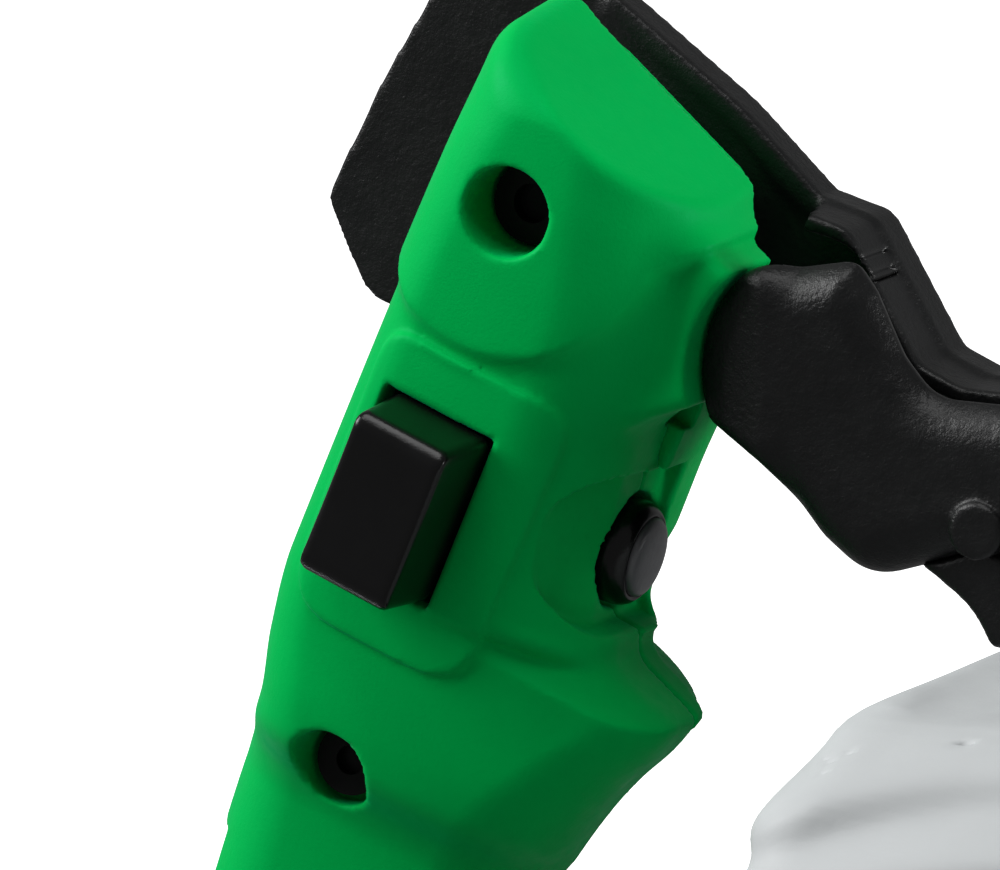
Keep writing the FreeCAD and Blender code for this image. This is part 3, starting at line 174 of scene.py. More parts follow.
def skin(name, field, axes, place, body, *replaced):
    """The surface of a field as a mesh piece: one vertex in each cell that the surface crosses."""
    field = np.broadcast_to(field, tuple(len(axis) for axis in axes)).astype(np.float32)
    inside = field < 0
    cells = tuple(size - 1 for size in field.shape)
    total = np.zeros(cells + (3,), np.float32)
    count = np.zeros(cells, np.int16)
    crossings = []
    for axis in range(3):
        first = tuple(slice(0, -1) if k == axis else slice(None) for k in range(3))
        second = tuple(slice(1, None) if k == axis else slice(None) for k in range(3))
        spots = np.argwhere(inside[first] != inside[second])
        start = field[first][tuple(spots.T)]
        end = field[second][tuple(spots.T)]
        where = [axes[k][spots[:, k]] for k in range(3)]
        share = start / (start - end)
        where[axis] = where[axis] + share * (axes[axis][spots[:, axis] + 1] - where[axis])
        points = np.stack(where, 1)
        across = [k for k in range(3) if k != axis]
        ring = []
        for shift in ((-1, -1), (0, -1), (0, 0), (-1, 0)):
            cell = spots.copy()
            cell[:, across[0]] += shift[0]
            cell[:, across[1]] += shift[1]
            ring.append(cell)
            valid = np.all((cell >= 0) & (cell < cells), 1)
            key = tuple(cell[valid].T)
            np.add.at(count, key, 1)
            for k in range(3):
                np.add.at(total[..., k], key, points[valid, k])
        outward = inside[first][tuple(spots.T)]
        if axis == 1:
            outward = ~outward
        crossings.append((ring, outward))
    used = count > 0
    index = np.full(cells, -1, np.int64)
    index[used] = np.arange(used.sum())
    vertices = total[used] / count[used][:, None] * MM
    faces = []
    for ring, outward in crossings:
        corners = np.stack([index[tuple(np.clip(cell, 0, np.array(cells) - 1).T)] for cell in ring], 1)
        valid = np.all([np.all((cell >= 0) & (cell < cells), 1) for cell in ring], 0)
        corners = corners[valid]
        turned = outward[valid]
        corners[~turned] = corners[~turned][:, ::-1]
        faces.append(corners)
    faces = np.concatenate(faces)
    mesh = bpy.data.meshes.new(name)
    mesh.vertices.add(len(vertices))
    mesh.vertices.foreach_set("co", vertices.ravel())
    mesh.loops.add(faces.size)
    mesh.loops.foreach_set("vertex_index", faces.ravel())
    mesh.polygons.add(len(faces))
    mesh.polygons.foreach_set("loop_start", np.arange(0, faces.size, 4))
    mesh.polygons.foreach_set("loop_total", np.full(len(faces), 4))
    mesh.polygons.foreach_set("use_smooth", np.ones(len(faces), bool))
    mesh.update()
    mesh.validate()
    mesh.transform(place)
    piece = bpy.data.objects.new(name, mesh)
    bpy.context.scene.collection.objects.link(piece)
    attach(piece, body)
    if replaced:
        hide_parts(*replaced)
    return piece


# ---------------------------------------------------------------- materials

GRAIN_DEPTH = 0.0001


def material(name, color, roughness, metallic=0.0, specular=0.5):
    made = bpy.data.materials.new(name)
    made.use_nodes = True
    shader = made.node_tree.nodes["Principled BSDF"]
    shader.inputs["Base Color"].default_value = (*color, 1.0)
    shader.inputs["Roughness"].default_value = roughness
    shader.inputs["Metallic"].default_value = metallic
    shader.inputs["Specular IOR Level"].default_value = specular
    return made


def node_of(made, kind, **values):
    item = made.node_tree.nodes.new(kind)
    for key, value in values.items():
        if key in item.inputs:
            item.inputs[key].default_value = value
        else:
            setattr(item, key, value)
    return item


def link(made, source, output, target, socket):
    made.node_tree.links.new(source.outputs[output], target.inputs[socket])


def mottled(made, color, spread, scale):
    """A base colour that wanders a little over the surface."""
    shader = made.node_tree.nodes["Principled BSDF"]
    place = node_of(made, "ShaderNodeTexCoord")
    noise = node_of(made, "ShaderNodeTexNoise", Scale=scale, Detail=4.0, Roughness=0.6)
    link(made, place, "Object", noise, "Vector")
    tones = node_of(made, "ShaderNodeValToRGB")
    tones.color_ramp.elements[0].position = 0.3
    tones.color_ramp.elements[1].position = 0.7
    tones.color_ramp.elements[0].color = (*[part * (1 - spread) for part in color], 1.0)
    tones.color_ramp.elements[1].color = (*[min(1.0, part * (1 + spread)) for part in color], 1.0)
    link(made, noise, "Fac", tones, "Fac")
    link(made, tones, "Color", shader, "Base Color")


def grained(made, scales, strength, roughness):
    """Moulded texture: noise bumps of several sizes, each (scale, weight), and uneven roughness."""
    shader = made.node_tree.nodes["Principled BSDF"]
    place = node_of(made, "ShaderNodeTexCoord")
    height = None
    for scale, weight in scales:
        noise = node_of(made, "ShaderNodeTexNoise", Scale=scale, Detail=3.0, Roughness=0.55)
        link(made, place, "Object", noise, "Vector")
        part = node_of(made, "ShaderNodeMath", operation="MULTIPLY")
        part.inputs[1].default_value = weight
        link(made, noise, "Fac", part, 0)
        if height is None:
            height = part
            continue
        added = node_of(made, "ShaderNodeMath", operation="ADD")
        link(made, height, "Value", added, 0)
        link(made, part, "Value", added, 1)
        height = added
    bump = node_of(made, "ShaderNodeBump", Strength=strength, Distance=GRAIN_DEPTH)
    link(made, height, "Value", bump, "Height")
    link(made, bump, "Normal", shader, "Normal")
    spread = node_of(made, "ShaderNodeMapRange")
    spread.inputs["From Min"].default_value = 0.3
    spread.inputs["From Max"].default_value = 0.7
    spread.inputs["To Min"].default_value = roughness[0]
    spread.inputs["To Max"].default_value = roughness[1]
    rough = node_of(made, "ShaderNodeTexNoise", Scale=scales[0][0] * 0.2, Detail=3.0)
    link(made, place, "Object", rough, "Vector")
    link(made, rough, "Fac", spread, "Value")
    link(made, spread, "Result", shader, "Roughness")


def plastic(name, color, roughness, scale, strength, spread=0.08, specular=0.5):
    """Moulded plastic, rubber, foam or fibre."""
    made = material(name, color, roughness, specular=specular)
    mottled(made, color, spread, 60.0)
    grained(made, ((scale, 1.0), (scale * 3.1, 0.5)), strength, (roughness * 0.85, roughness * 1.15))
    return made


def metal(name, color, roughness, stretch, strength):
    """Metal, machined or cast, with a fine grain of noise bumps and uneven roughness."""
    made = material(name, color, roughness, metallic=1.0)
    mottled(made, color, 0.1, 90.0)
    grained(made, ((stretch, 1.0), (stretch * 4.0, 0.4)), strength, (roughness * 0.7, roughness * 1.3))
    return made


MATERIALS = {
    "shell_green": plastic("shell_green", (0.0, 0.33, 0.055), 0.5, 2600.0, 0.25, 0.04, 0.07),
    "black_nylon": plastic("black_nylon", (0.0035, 0.0038, 0.004), 0.38, 1500.0, 0.9, 0.25, 0.24),
    "switch_black": plastic("switch_black", (0.002, 0.002, 0.0022), 0.22, 1800.0, 0.2, 0.2, 0.25),
    # on the thumb button's face this lighter grey is a painted reflection; the button itself is black
    "button_grey": plastic("button_grey", (0.05, 0.05, 0.055), 0.38, 1800.0, 0.25, 0.1),
    "black_oxide": plastic("black_oxide", (0.004, 0.004, 0.0042), 0.4, 1500.0, 0.2, 0.1, 0.1),
    "cowl_grey": plastic("cowl_grey", (0.37, 0.385, 0.39), 0.55, 1400.0, 0.15, 0.03, 0.2),
    "housing_grey": plastic("housing_grey", (0.03, 0.031, 0.033), 0.5, 1300.0, 0.4),
    "tank_white": plastic("tank_white", (0.7, 0.7, 0.64), 0.35, 900.0, 0.15, 0.04),
    "grip_rubber": plastic("grip_rubber", (0.014, 0.014, 0.014), 0.72, 900.0, 0.6),
    "bulb_rubber": plastic("bulb_rubber", (0.3, 0.02, 0.012), 0.25, 900.0, 0.1),
    "filter_foam": plastic("filter_foam", (0.02, 0.02, 0.022), 0.9, 500.0, 1.0),
    "line_nylon": plastic("line_nylon", (0.75, 0.22, 0.01), 0.3, 900.0, 0.15),
    "ceramic_white": plastic("ceramic_white", (0.8, 0.79, 0.75), 0.15, 400.0, 0.05),
    "rope_fibre": plastic("rope_fibre", (0.5, 0.49, 0.44), 0.8, 1800.0, 1.0, 0.2),
    "tube_metal": metal("tube_metal", (0.62, 0.63, 0.65), 0.32, 700.0, 0.12),
    "cast_metal": metal("cast_metal", (0.5, 0.51, 0.52), 0.5, 900.0, 0.5),
    "steel": metal("steel", (0.42, 0.42, 0.43), 0.3, 900.0, 0.15),
    "zinc_steel": metal("zinc_steel", (0.55, 0.55, 0.53), 0.35, 1200.0, 0.2),
    "muffler_steel": metal("muffler_steel", (0.06, 0.055, 0.05), 0.55, 1100.0, 0.5),
    "bush_bronze": metal("bush_bronze", (0.45, 0.28, 0.1), 0.4, 900.0, 0.3),
}
sheen = MATERIALS["shell_green"].node_tree.nodes["Principled BSDF"].inputs
sheen["Specular Tint"].default_value = (0.0, 0.7, 1.0, 1.0)
sheen["Sheen Weight"].default_value = 0.12
sheen["Sheen Roughness"].default_value = 0.4
sheen["Sheen Tint"].default_value = (0.0, 0.8, 0.6, 1.0)
slot_of = {part["node"]: part["material_slot"] for part in frame["record"]["subparts"]}
for label, piece in nodes.items():
    piece.data.materials.clear()
    piece.data.materials.append(MATERIALS[slot_of[label]])


def finish_piece(piece, slot):
    piece.data.materials.append(MATERIALS[slot])


# ---------------------------------------------------------------- control handle

FINE = 0.4
COARSE = 1.2
HALF_WIDTH = 17.5
SHELL_WALL = 3.0
BOLT_WELL = (3.6, 43.0)
SCREW_WELL = (0.0, -18.8)
FOOT_WELL = (-5.0, -88.0)
# (centre, post radius, well radius, how far left the well's floor is, edge radius)
WELLS = [
    (BOLT_WELL, 7.0, 4.6, 9.0, 0.5),
    (SCREW_WELL, 6.2, 4.3, 8.0, 0.4),
    (FOOT_WELL, 5.0, 4.0, 8.0, 0.4),
]
# the arm's round end sits in a hollow round this centre, from the rear up to the wall
DISC = (-30.0, 39.4)
DISC_HOLLOW = 13.6
DISC_WALL = -9.0
BUTTON_UP = 11.6
BUTTON_BACK = -17.4
BUTTON_TILT = 0.167
# the dish round the button is a slot across the rear, rising toward both sides
DISH_HALF = 7.4
DISH_UP = 1.0
DISH_RADIUS = 7.9
DISH_RIGHT_END = -5.0
DISH_FLOOR = -15.2
DISH_RISE = 0.42
DISH_RISE_FROM = 5.5
BUTTON_HOLE = 6.2
BUTTON_HOLE_END = -4.0
BOSS_RADIUS = 14.4
BOSS_SPREAD = 0.9
BOSS_PROUD = 0.7
PANEL_PROUD = 0.85
# (half width, middle up, half height) of the trigger's slot, and how far forward it starts
TRIGGER_SLOT = (6.6, -61.0, 28.0)
TRIGGER_SLOT_START = 2.0
# (middle forward, half width, middle up, half height) of the rocker's opening
ROCKER_OPENING = (2.3, 6.3, 11.6, 9.6)
ROCKER_OPENING_FLOOR = 9.5
# (middle, half size) along left and along up of the notch above the button, and its depth
NOTCH_LEFT = (-0.4, 1.9)
NOTCH_UP = (26.9, 1.6)
NOTCH_FLOOR = -10.0
PARTING_GAP = 0.03
# (up, forward) of the front and rear ridges, and (up, half width)
FRONT_LINE = [
    (-110, 12.5), (-80, 9.9), (-60, 10.2), (-38, 12.3), (-25, 13.2), (-16, 11.6), (-9, 12.8), (0, 13.7),
    (30, 13.5), (70, 13.0),
]
REAR_LINE = [
    (-110, -20.0), (-90, -18.8), (-42, -19.3), (-24, -21.8), (-15, -23.8), (-9, -25.9), (-4.5, -28.0),
    (-1.4, -28.8), (-0.6, -28.2), (0.6, -24.9), (1.8, -21.5), (4.1, -19.9), (7.5, -18.4), (14, -16.4),
    (21.0, -14.8), (26, -14.3), (30, -14.2), (45.5, -13.7), (53, -12.3), (62, -12.3),
]
# the right half's rear ridge leaves the left's at the lip under the button
FAR_REAR_LINE = REAR_LINE[:12] + [
    (4.1, -20.2), (7.0, -17.6), (9.5, -15.5), (13, -15.9), (20, -15.8), (27, -16.0), (31, -14.6),
] + REAR_LINE[-3:]
WIDTH_LINE = [
    (-110, 11.6), (-60, 10.8), (-25.5, 10.8), (-22.4, 12.0), (-18.0, 16.4), (-15, 17.3), (-8, 17.5),
    (44, 17.5), (52, 17.4), (62, 17.2),
]
# how steeply the right half turns away from the parting line
TURN_LINE = [
    (-110, 0.1), (-60, 0.15), (-30, 0.2), (-14, 0.34), (-6, 0.6), (4.2, 0.6), (7.0, 0.2), (9.5, 0.0),
    (28, 0.0), (33, 0.42), (70, 0.42),
]
# (up, corner radius) at the rear and at the front
REAR_ROUND = [
    (-110, 10.0), (-30, 10.5), (-16, 9.0), (-2, 6.0), (4, 9.5), (8, 10.5), (34, 10.0), (46, 12.0), (70, 12.0),
]
FRONT_ROUND = [(-110, 9.0), (-30, 9.5), (-14, 7.5), (0, 6.0), (44, 6.5), (56, 8.0), (70, 8.0)]
COLLAR_OUTLINE = [
    (-6.0, 47.5, 2.0),
    (-14.5, 46.6, 3.0),
    (-19.5, 45.2, 0.0),
    (-19.5, 31.6, 0.0),
    (-14.2, 27.0, 3.0),
    (-6.0, 27.0, 2.0),
]
PANEL_OUTLINE = [
    (11.0, 27.0, 4.0),
    (-10.2, 27.0, 4.5),
    (-10.2, -4.2, 5.5),
    (10.6, -4.2, 6.5),
]
LOWEST = -100.0
FOOT_SLOPE = 0.12


def handle_body(v, y, u):
    """The closed handle before its openings, as distance in mm."""
    side = np.abs(y)
    front = v - curve(u, FRONT_LINE)
    rear_line = np.where(y < 0.0, curve(u, FAR_REAR_LINE), curve(u, REAR_LINE))
    lip = 1.1 * ramp(u, 16.0, 19.0) * ramp(u, 21.2, 20.2) * ramp(y, 5.0, 1.5) * (y > 0.0)
    rear = rear_line - lip - v
    rear = rear / np.sqrt(1.0 + np.gradient(rear_line, u[0, 0], axis=2) ** 2)
    flat = 3.5 * ramp(u, -3.0, 1.0) * ramp(u, 12.0, 8.0)
    rear = rear + np.where(y < 0.0, curve(u, TURN_LINE) * np.maximum(side - flat, 0.0), 0.0)
    wide = side - curve(u, WIDTH_LINE) + 0.006 * (v - 4.0) ** 2
    rear_round = curve(u, REAR_ROUND)
    rear_round = rear_round - np.where(y < 0.0, 3.0 * ramp(u, 3.0, 8.0) * ramp(u, 32.0, 28.0), 0.0)
    front_round = curve(u, FRONT_ROUND)
    body = rounded(wide, front, front_round)
    body = rounded(body, rear, rear_round)
    collar = outline_field(v[:, 0, :], u[:, 0, :], COLLAR_OUTLINE)[:, None, :]
    collar = rounded(collar, slab(y, -1.0, 11.0), 1.5)
    body = join(body, collar, 3.0)
    return body


def head_facet(v, y, u):
    """The plane that cuts the head's top, falling toward both sides."""
    slope = np.where(y > 0.0, 0.18, 0.6)
    return (u - 56.4 - 0.34 * v - 0.8 * ramp(v, 5.0, 13.0) + slope * np.abs(y)) / (1.057 + 0.3 * slope)


def handle_shell(name, sign):
    """One half of the handle: the left (sign 1) has the boss, the panel and the wells."""
    v = grid(-31.0, 16.0, FINE)[:, None, None]
    side_axis = grid(-0.8, 20.4, FINE) if sign > 0 else grid(-18.6, 0.8, FINE)
    y = side_axis[None, :, None]
    up_axis = np.concatenate((grid(-106.0, -34.0, COARSE), grid(-33.6, 62.8, FINE)))
    u = up_axis[None, None, :]
    flat_v = v[:, 0, :]
    flat_u = u[:, 0, :]
    shape = handle_body(v, y, u)
    facet = head_facet(v, y, u)
    shape = rounded(shape, facet - 1.6, 3.0)
    if sign > 0:
        spread = BOSS_RADIUS + BOSS_SPREAD * np.maximum(u - BOLT_WELL[1], 0.0)
        boss = np.hypot(v - BOLT_WELL[0], np.minimum(u - BOLT_WELL[1], 0.0)) - spread
        boss = rounded(boss, y - HALF_WIDTH - BOSS_PROUD, 0.6)
        clipped_boss = common(boss, shape - 0.75, 0.3)
        shape = join(shape, clipped_boss, 2.6)
        panel = outline_field(flat_v, flat_u, PANEL_OUTLINE)[:, None, :]
        shape = join(shape, common(panel, shape - PANEL_PROUD, 0.5), 0.5)
    shape = rounded(shape, facet, 0.7 + 3.6 * ramp(v, 1.0, 10.0))
    dish = np.hypot(np.maximum(np.abs(y) - DISH_HALF, 0.0), u - BUTTON_UP - DISH_UP) - DISH_RADIUS
    dish = np.maximum(dish, DISH_RIGHT_END - y)
    dish_floor = DISH_FLOOR + BUTTON_TILT * (u - BUTTON_UP)
    dish_floor = dish_floor + DISH_RISE * np.maximum(np.abs(y) - DISH_RISE_FROM, 0.0)
    shape = cut(shape, rounded(dish, v - dish_floor, 0.8), 0.2)
    button_way = np.hypot(y, u - BUTTON_UP - 0.1 + BUTTON_TILT * (v - BUTTON_BACK)) - BUTTON_HOLE
    shape = cut(shape, np.maximum(disc(v, u, DISC, DISC_HOLLOW), v - DISC_WALL), 0.3)
    wall = shape + SHELL_WALL
    cavity = wall
    for centre, post, _, _, _ in WELLS:
        cavity = cut(cavity, disc(v, u, centre, post))
    shape = cut(shape, cavity)
    shape = cut(shape, np.maximum(button_way, v - BUTTON_HOLE_END), 0.3)
    slot = np.maximum(np.abs(y) - TRIGGER_SLOT[0], np.abs(u - TRIGGER_SLOT[1]) - TRIGGER_SLOT[2])
    shape = cut(shape, np.maximum(slot, TRIGGER_SLOT_START - v), 0.6)
    if sign > 0:
        for centre, _, well, floor_left, edge in WELLS:
            shape = cut(shape, np.maximum(disc(v, u, centre, well), floor_left - y), edge)
        middle_v, half_v, middle_u, half_u = ROCKER_OPENING
        opening = np.maximum(np.abs(v - middle_v) - half_v, np.abs(u - middle_u) - half_u)
        shape = cut(shape, np.maximum(opening, ROCKER_OPENING_FLOOR - y), 0.25)
    shape = rounded(shape, LOWEST + FOOT_SLOPE * v - u, 1.5)
    shape = rounded(shape, -sign * y + PARTING_GAP, 0.25)
    notch = np.maximum(np.abs(y - NOTCH_LEFT[0]) - NOTCH_LEFT[1], np.abs(u - NOTCH_UP[0]) - NOTCH_UP[1])
    notch = np.maximum(notch, v - NOTCH_FLOOR)
    shape = cut(shape, notch, 0.2)
    return skin(name + "_skin", shape, (v[:, 0, 0], side_axis, up_axis), HANDLE, "frame", name)


for label, sign in (("handle_shell_left", 1), ("handle_shell_right", -1)):
    finish_piece(handle_shell(label, sign), "shell_green")


# ---------------------------------------------------------------- rocker switch and thumb button

ROCKER_UP = 11.7
ROCKER_FORWARD = 1.9
ROCKER_HALF = (5.2, 8.9)
ROCKER_FACE = 27.0
ROCKER_BACK = 13.0
ROCKER_SPREAD = 0.04
ROCKER_WAIST = 17.5
# (along, left) of a point on the face's end bevels, and the bevels' outward direction
BEVEL_POINT = (8.1, 26.9)
BEVEL = (0.62, 0.785)


def rocker():
    """The switch's key: wider toward its foot, then pulled in so that it clears the opening."""
    v = grid(-6.5, 10.5, 0.3)[:, None, None]
    y = grid(12.0, 29.0, 0.3)[None, :, None]
    u = grid(0.0, 23.0, 0.3)[None, None, :]
    along = u - ROCKER_UP
    spread = ROCKER_SPREAD * (ROCKER_FACE - y)
    waist = np.maximum(ROCKER_WAIST - y, 0.0)
    across = np.abs(v - ROCKER_FORWARD) - ROCKER_HALF[0] - spread
    block = rounded(across, np.abs(along) - ROCKER_HALF[1] - spread + waist, 1.0)
    face = ROCKER_FACE + 0.004 * along ** 2
    shape = rounded(block, y - face, 0.7)
    bevel = BEVEL[0] * (np.abs(along) - BEVEL_POINT[0]) + BEVEL[1] * (y - BEVEL_POINT[1])
    shape = common(shape, bevel, 0.5)
    shape = np.maximum(shape, ROCKER_BACK - y)
    axes = (v[:, 0, 0], y[0, :, 0], u[0, 0, :])
    finish_piece(skin("stop_rocker", shape, axes, HANDLE, "switch", "stop_switch"), "switch_black")


rocker()


def lathe(name, profile, place, body, segments=96, replaced=()):
    """A turned piece: (radius, height) points in mm, round the local Z axis of place."""
    count = len(profile)
    vertices = []
    for step in range(segments):
        turn = 2 * math.pi * step / segments
        for radius, height in profile:
            vertices.append((radius * math.cos(turn) * MM, radius * math.sin(turn) * MM, height * MM))
    faces = []
    for step in range(segments):
        after = (step + 1) % segments
        for index in range(count - 1):
            near = step * count + index
            far = after * count + index
            faces.append((near, far, far + 1, near + 1))
    mesh = bpy.data.meshes.new(name)
    mesh.from_pydata(vertices, [], faces)
    mesh.polygons.foreach_set("use_smooth", np.ones(len(faces), bool))
    mesh.transform(place)
    mesh.validate()
    piece = bpy.data.objects.new(name, mesh)
    bpy.context.scene.collection.objects.link(piece)
    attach(piece, body)
    if replaced:
        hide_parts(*replaced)
    return piece


# the button's axis leans with the rear of the grip; heights are measured from its face
BUTTON = (
    HANDLE
    @ Matrix.Translation((BUTTON_BACK * MM, 0.0, BUTTON_UP * MM))
    @ Matrix.Rotation(math.atan(BUTTON_TILT) - math.pi / 2, 4, "Y")
)
BUTTON_BODY = [
    (0.01, -7.6), (1.3, -7.6), (1.3, -5.2), (5.4, -5.2), (5.5, -5.0), (5.5, -1.9), (5.35, -1.2), (5.0, -0.6),
    (4.6, -0.2), (4.35, -0.1), (4.2, -0.3), (0.01, -0.3),
]
BUTTON_FACE = [(4.1, -0.35), (4.1, 0.0), (3.85, 0.35), (3.3, 0.55), (2.3, 0.68), (1.2, 0.74), (0.01, 0.75)]
button = lathe("thumb_button", BUTTON_BODY, BUTTON, "lock_button", replaced=["throttle_lock_button"])
finish_piece(button, "switch_black")
# the face's lighter grey is a painted reflection of the bright rear; the button is black like its body
finish_piece(lathe("thumb_button_face_painted_reflection", BUTTON_FACE, BUTTON, "lock_button"), "button_grey")

# ---------------------------------------------------------------- bow behind the handle

ARM_FAR = -8.7
ARM_NEAR = 9.0
PIN = (-51.3, 33.9)
ARM_OUTLINE = [
    (-15.0, 38.0, 8.0),
    (-18.0, 46.0, 6.0),
    (-22.5, 48.6, 4.0),
    (-28.0, 52.2, 2.5),
    (-31.4, 50.2, 3.0),
    (-36.6, 45.6, 6.0),
    (-41.0, 43.4, 5.0),
    (-47.5, 46.0, 8.0),
    (-64.0, 54.5, 20.0),
    (-100.0, 71.0, 20.0),
    (-126.0, 77.0, 12.0),
    (-138.0, 67.0, 3.0),
    (-138.0, 58.58, 0.5),
    (-124.0, 52.63, 0.5),
    (-112.0, 53.0, 8.0),
    (-68.0, 37.5, 20.0),
    (-51.0, 30.6, 6.0),
    (-41.7, 22.8, 6.0),
    (-35.6, 24.4, 8.0),
    (-27.0, 28.9, 8.0),
    (-16.5, 30.4, 1.5),
]


def bow_arm():
    """The arm: its top falls away to the right, and its round end fits the handle's hollow."""
    v = np.concatenate((grid(-140.0, -60.0, 1.0), grid(-59.6, -14.0, FINE)))[:, None, None]
    y = grid(-9.6, 10.0, FINE)[None, :, None]
    u = grid(22.0, 79.0, FINE)[None, None, :]
    side = outline_field(v[:, 0, :], u[:, 0, :], ARM_OUTLINE)[:, None, :]
    root = (v + 20.8) + 0.4255 * (45.5 - u)
    near = ARM_NEAR - 0.2 * np.maximum(root, 0.0)
    middle = curve(v, [(-140, 66.0), (-60, 42.0), (-44, 34.0), (-14, 38.0)])
    fall = 0.6 * np.maximum(6.0 - y, 0.0) * ramp(u - middle, -2.0, 6.0) * ramp(v, -100.0, -70.0)
    shape = rounded(side + fall, y - near, 5.0 - 3.5 * ramp(root, -4.0, 2.0))
    shape = rounded(shape, ARM_FAR - y, 2.0)
    shape = join(shape, rounded(disc(v, u, PIN, 2.9), slab(y, 5.0, ARM_NEAR + 0.9), 0.4), 0.3)
    shape = np.maximum(shape, np.where(v > -21.0, disc(v, u, DISC, 13.2), -9.0))
    axes = (v[:, 0, 0], y[0, :, 0], u[0, 0, :])
    finish_piece(skin("bow_arm_skin", shape, axes, HANDLE, "frame", "bow_arm"), "black_nylon")


bow_arm()

STAY_OUTLINE = [
    (-43.0, 30.5, 1.0),
    (-44.3, 26.8, 1.0),
    (-48.3, 26.0, 10.0),
    (-52.6, 25.0, 10.0),
    (-56.0, 22.3, 1.0),
    (-73.0, 30.0, 1.0),
    (-66.0, 40.0, 6.0),
    (-56.0, 38.0, 4.0),
]


def bow_stay():
    """The short stay that hangs from the arm's underside toward the cowl."""
    v = grid(-75.0, -41.0, 0.5)[:, None, None]
    y = grid(-7.0, 7.0, 0.5)[None, :, None]
    u = grid(21.0, 41.0, 0.5)[None, None, :]
    side = outline_field(v[:, 0, :], u[:, 0, :], STAY_OUTLINE)[:, None, :]
    arm = outline_field(v[:, 0, :], u[:, 0, :], ARM_OUTLINE)[:, None, :]
    shape = rounded(side, np.abs(y) - 6.0, 1.6)
    shape = cut(shape, arm + 0.2)
    axes = (v[:, 0, 0], y[0, :, 0], u[0, 0, :])
    finish_piece(skin("bow_stay_skin", shape, axes, HANDLE, "frame", "bow_stay"), "black_nylon")


bow_stay()

# ---------------------------------------------------------------- engine cowl

# (height above the cowl's rim, how far the sides and the front lie inside the widest place)
COWL_SLOPES = [(0, 0.0, 0.0), (44, 0.0, 0.0), (62, 9.0, 5.0), (75, 21.5, 9.8), (80, 31.0, 16.0)]
RIB_CENTRE = (29.0, 156.0)
RIB_PITCH = 8.0
RIB_HEIGHT = 0.8
COWL_WALL = 2.5
COWL_CROWN = 0.0004
# radius of the room round the crankshaft
COWL_ROOM = 45.0
# the vent slots on the right side: how many, the lowest one's height, pitch, half height
VENTS = (5, 14.0, 7.0, 1.5)
VENT_MIDDLE = -15.0
VENT_HALF_LENGTH = 15.0
VENT_SIDE = -60.0
PRIMER_HOLE = 9.5
# (x, z, radius) of the exhaust's hole and (x, y, radius) of the throttle cable's
EXHAUST_HOLE = (10.0, 180.0, 6.0)
CABLE_HOLE = (-23.0, -1.0, 3.4)
COWL_STEP = 0.8


def cowl():
    """The moulded cover over the cylinder: sloping sides, a soft crown and sweeping ribs."""
    low, high = (np.array(corner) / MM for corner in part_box("engine_cowl"))
    x = grid(low[0] - 1.0, high[0] + 1.0, COWL_STEP)[:, None, None]
    y = grid(low[1] - 1.0, high[1] + 1.0, COWL_STEP)[None, :, None]
    z = grid(low[2] - 1.0, high[2] + 1.0, COWL_STEP)[None, None, :]
    height = z - low[2]
    side_line = [(drop_height, high[1] - inset) for drop_height, inset, _ in COWL_SLOPES]
    front_line = [(drop_height, high[0] - inset) for drop_height, _, inset in COWL_SLOPES]
    reach = curve(height, side_line)
    ahead = curve(height, front_line)
    shape = rounded(np.abs(y) - reach, x - ahead, 7.0)
    shape = rounded(shape, low[0] - x, 9.0)
    shape = rounded(shape, z - high[2] - 0.2 + COWL_CROWN * y ** 2, 2.5)
    sweep = np.hypot(x - RIB_CENTRE[0], z - RIB_CENTRE[1])
    shape = shape + RIB_HEIGHT * np.cos(sweep * 2 * math.pi / RIB_PITCH) * ramp(np.abs(y), 20.0, 40.0)
    shape = cut(shape, shape + COWL_WALL)
    shape = np.maximum(shape, low[2] - z)
    room = np.hypot(y, z - joints["crank_spin"]["pos_m"][2] / MM) - COWL_ROOM
    shape = cut(shape, room, 0.5)
    count, lowest, pitch, half_height = VENTS
    for index in range(count):
        middle = lowest + pitch * index + half_height
        slot = np.maximum(np.abs(x - VENT_MIDDLE) - VENT_HALF_LENGTH, np.abs(height - middle) - half_height)
        shape = cut(shape, np.maximum(slot, y - VENT_SIDE), 0.5)
    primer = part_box("primer_bulb")
    centre = [(primer[0][k] + primer[1][k]) / 2 / MM for k in (0, 2)]
    shape = cut(shape, np.maximum(disc(x, z, centre, PRIMER_HOLE), 55.0 - y), 0.5)
    shape = cut(shape, np.maximum(disc(x, z, EXHAUST_HOLE, EXHAUST_HOLE[2]), y + 55.0), 0.5)
    shape = cut(shape, np.maximum(disc(x, y, CABLE_HOLE, CABLE_HOLE[2]), high[2] - 8.0 - z), 0.3)
    axes = (x[:, 0, 0], y[0, :, 0], z[0, 0, :])
    finish_piece(skin("engine_cowl_skin", shape, axes, ROW, "frame", "engine_cowl"), "cowl_grey")


cowl()

# ---------------------------------------------------------------- plate behind the handle

PLATE_FAR = -20.5
PLATE_FACE = -16.2
PLATE_TOP = [
    (-61.0, 48.4, 1.0),
    (-38.0, 39.8, 4.0),
    (-33.0, 39.9, 2.5),
    (-20.8, 48.9, 3.0),
    (-14.4, 48.1, 1.0),
    (-3.0, 52.4, 30.0),
    (14.0, 56.5, 20.0),
    (30.2, 59.5, 9.0),
]
PLATE_OUTLINE = PLATE_TOP + [
    (33.4, 38.0, 30.0),
    (34.4, 23.4, 3.0),
    (26.0, 15.8, 5.0),
    (4.0, 22.0, 10.0),
    (-18.0, 30.0, 6.0),
    (-34.0, 30.0, 6.0),
    (-60.0, 41.0, 2.0),
]


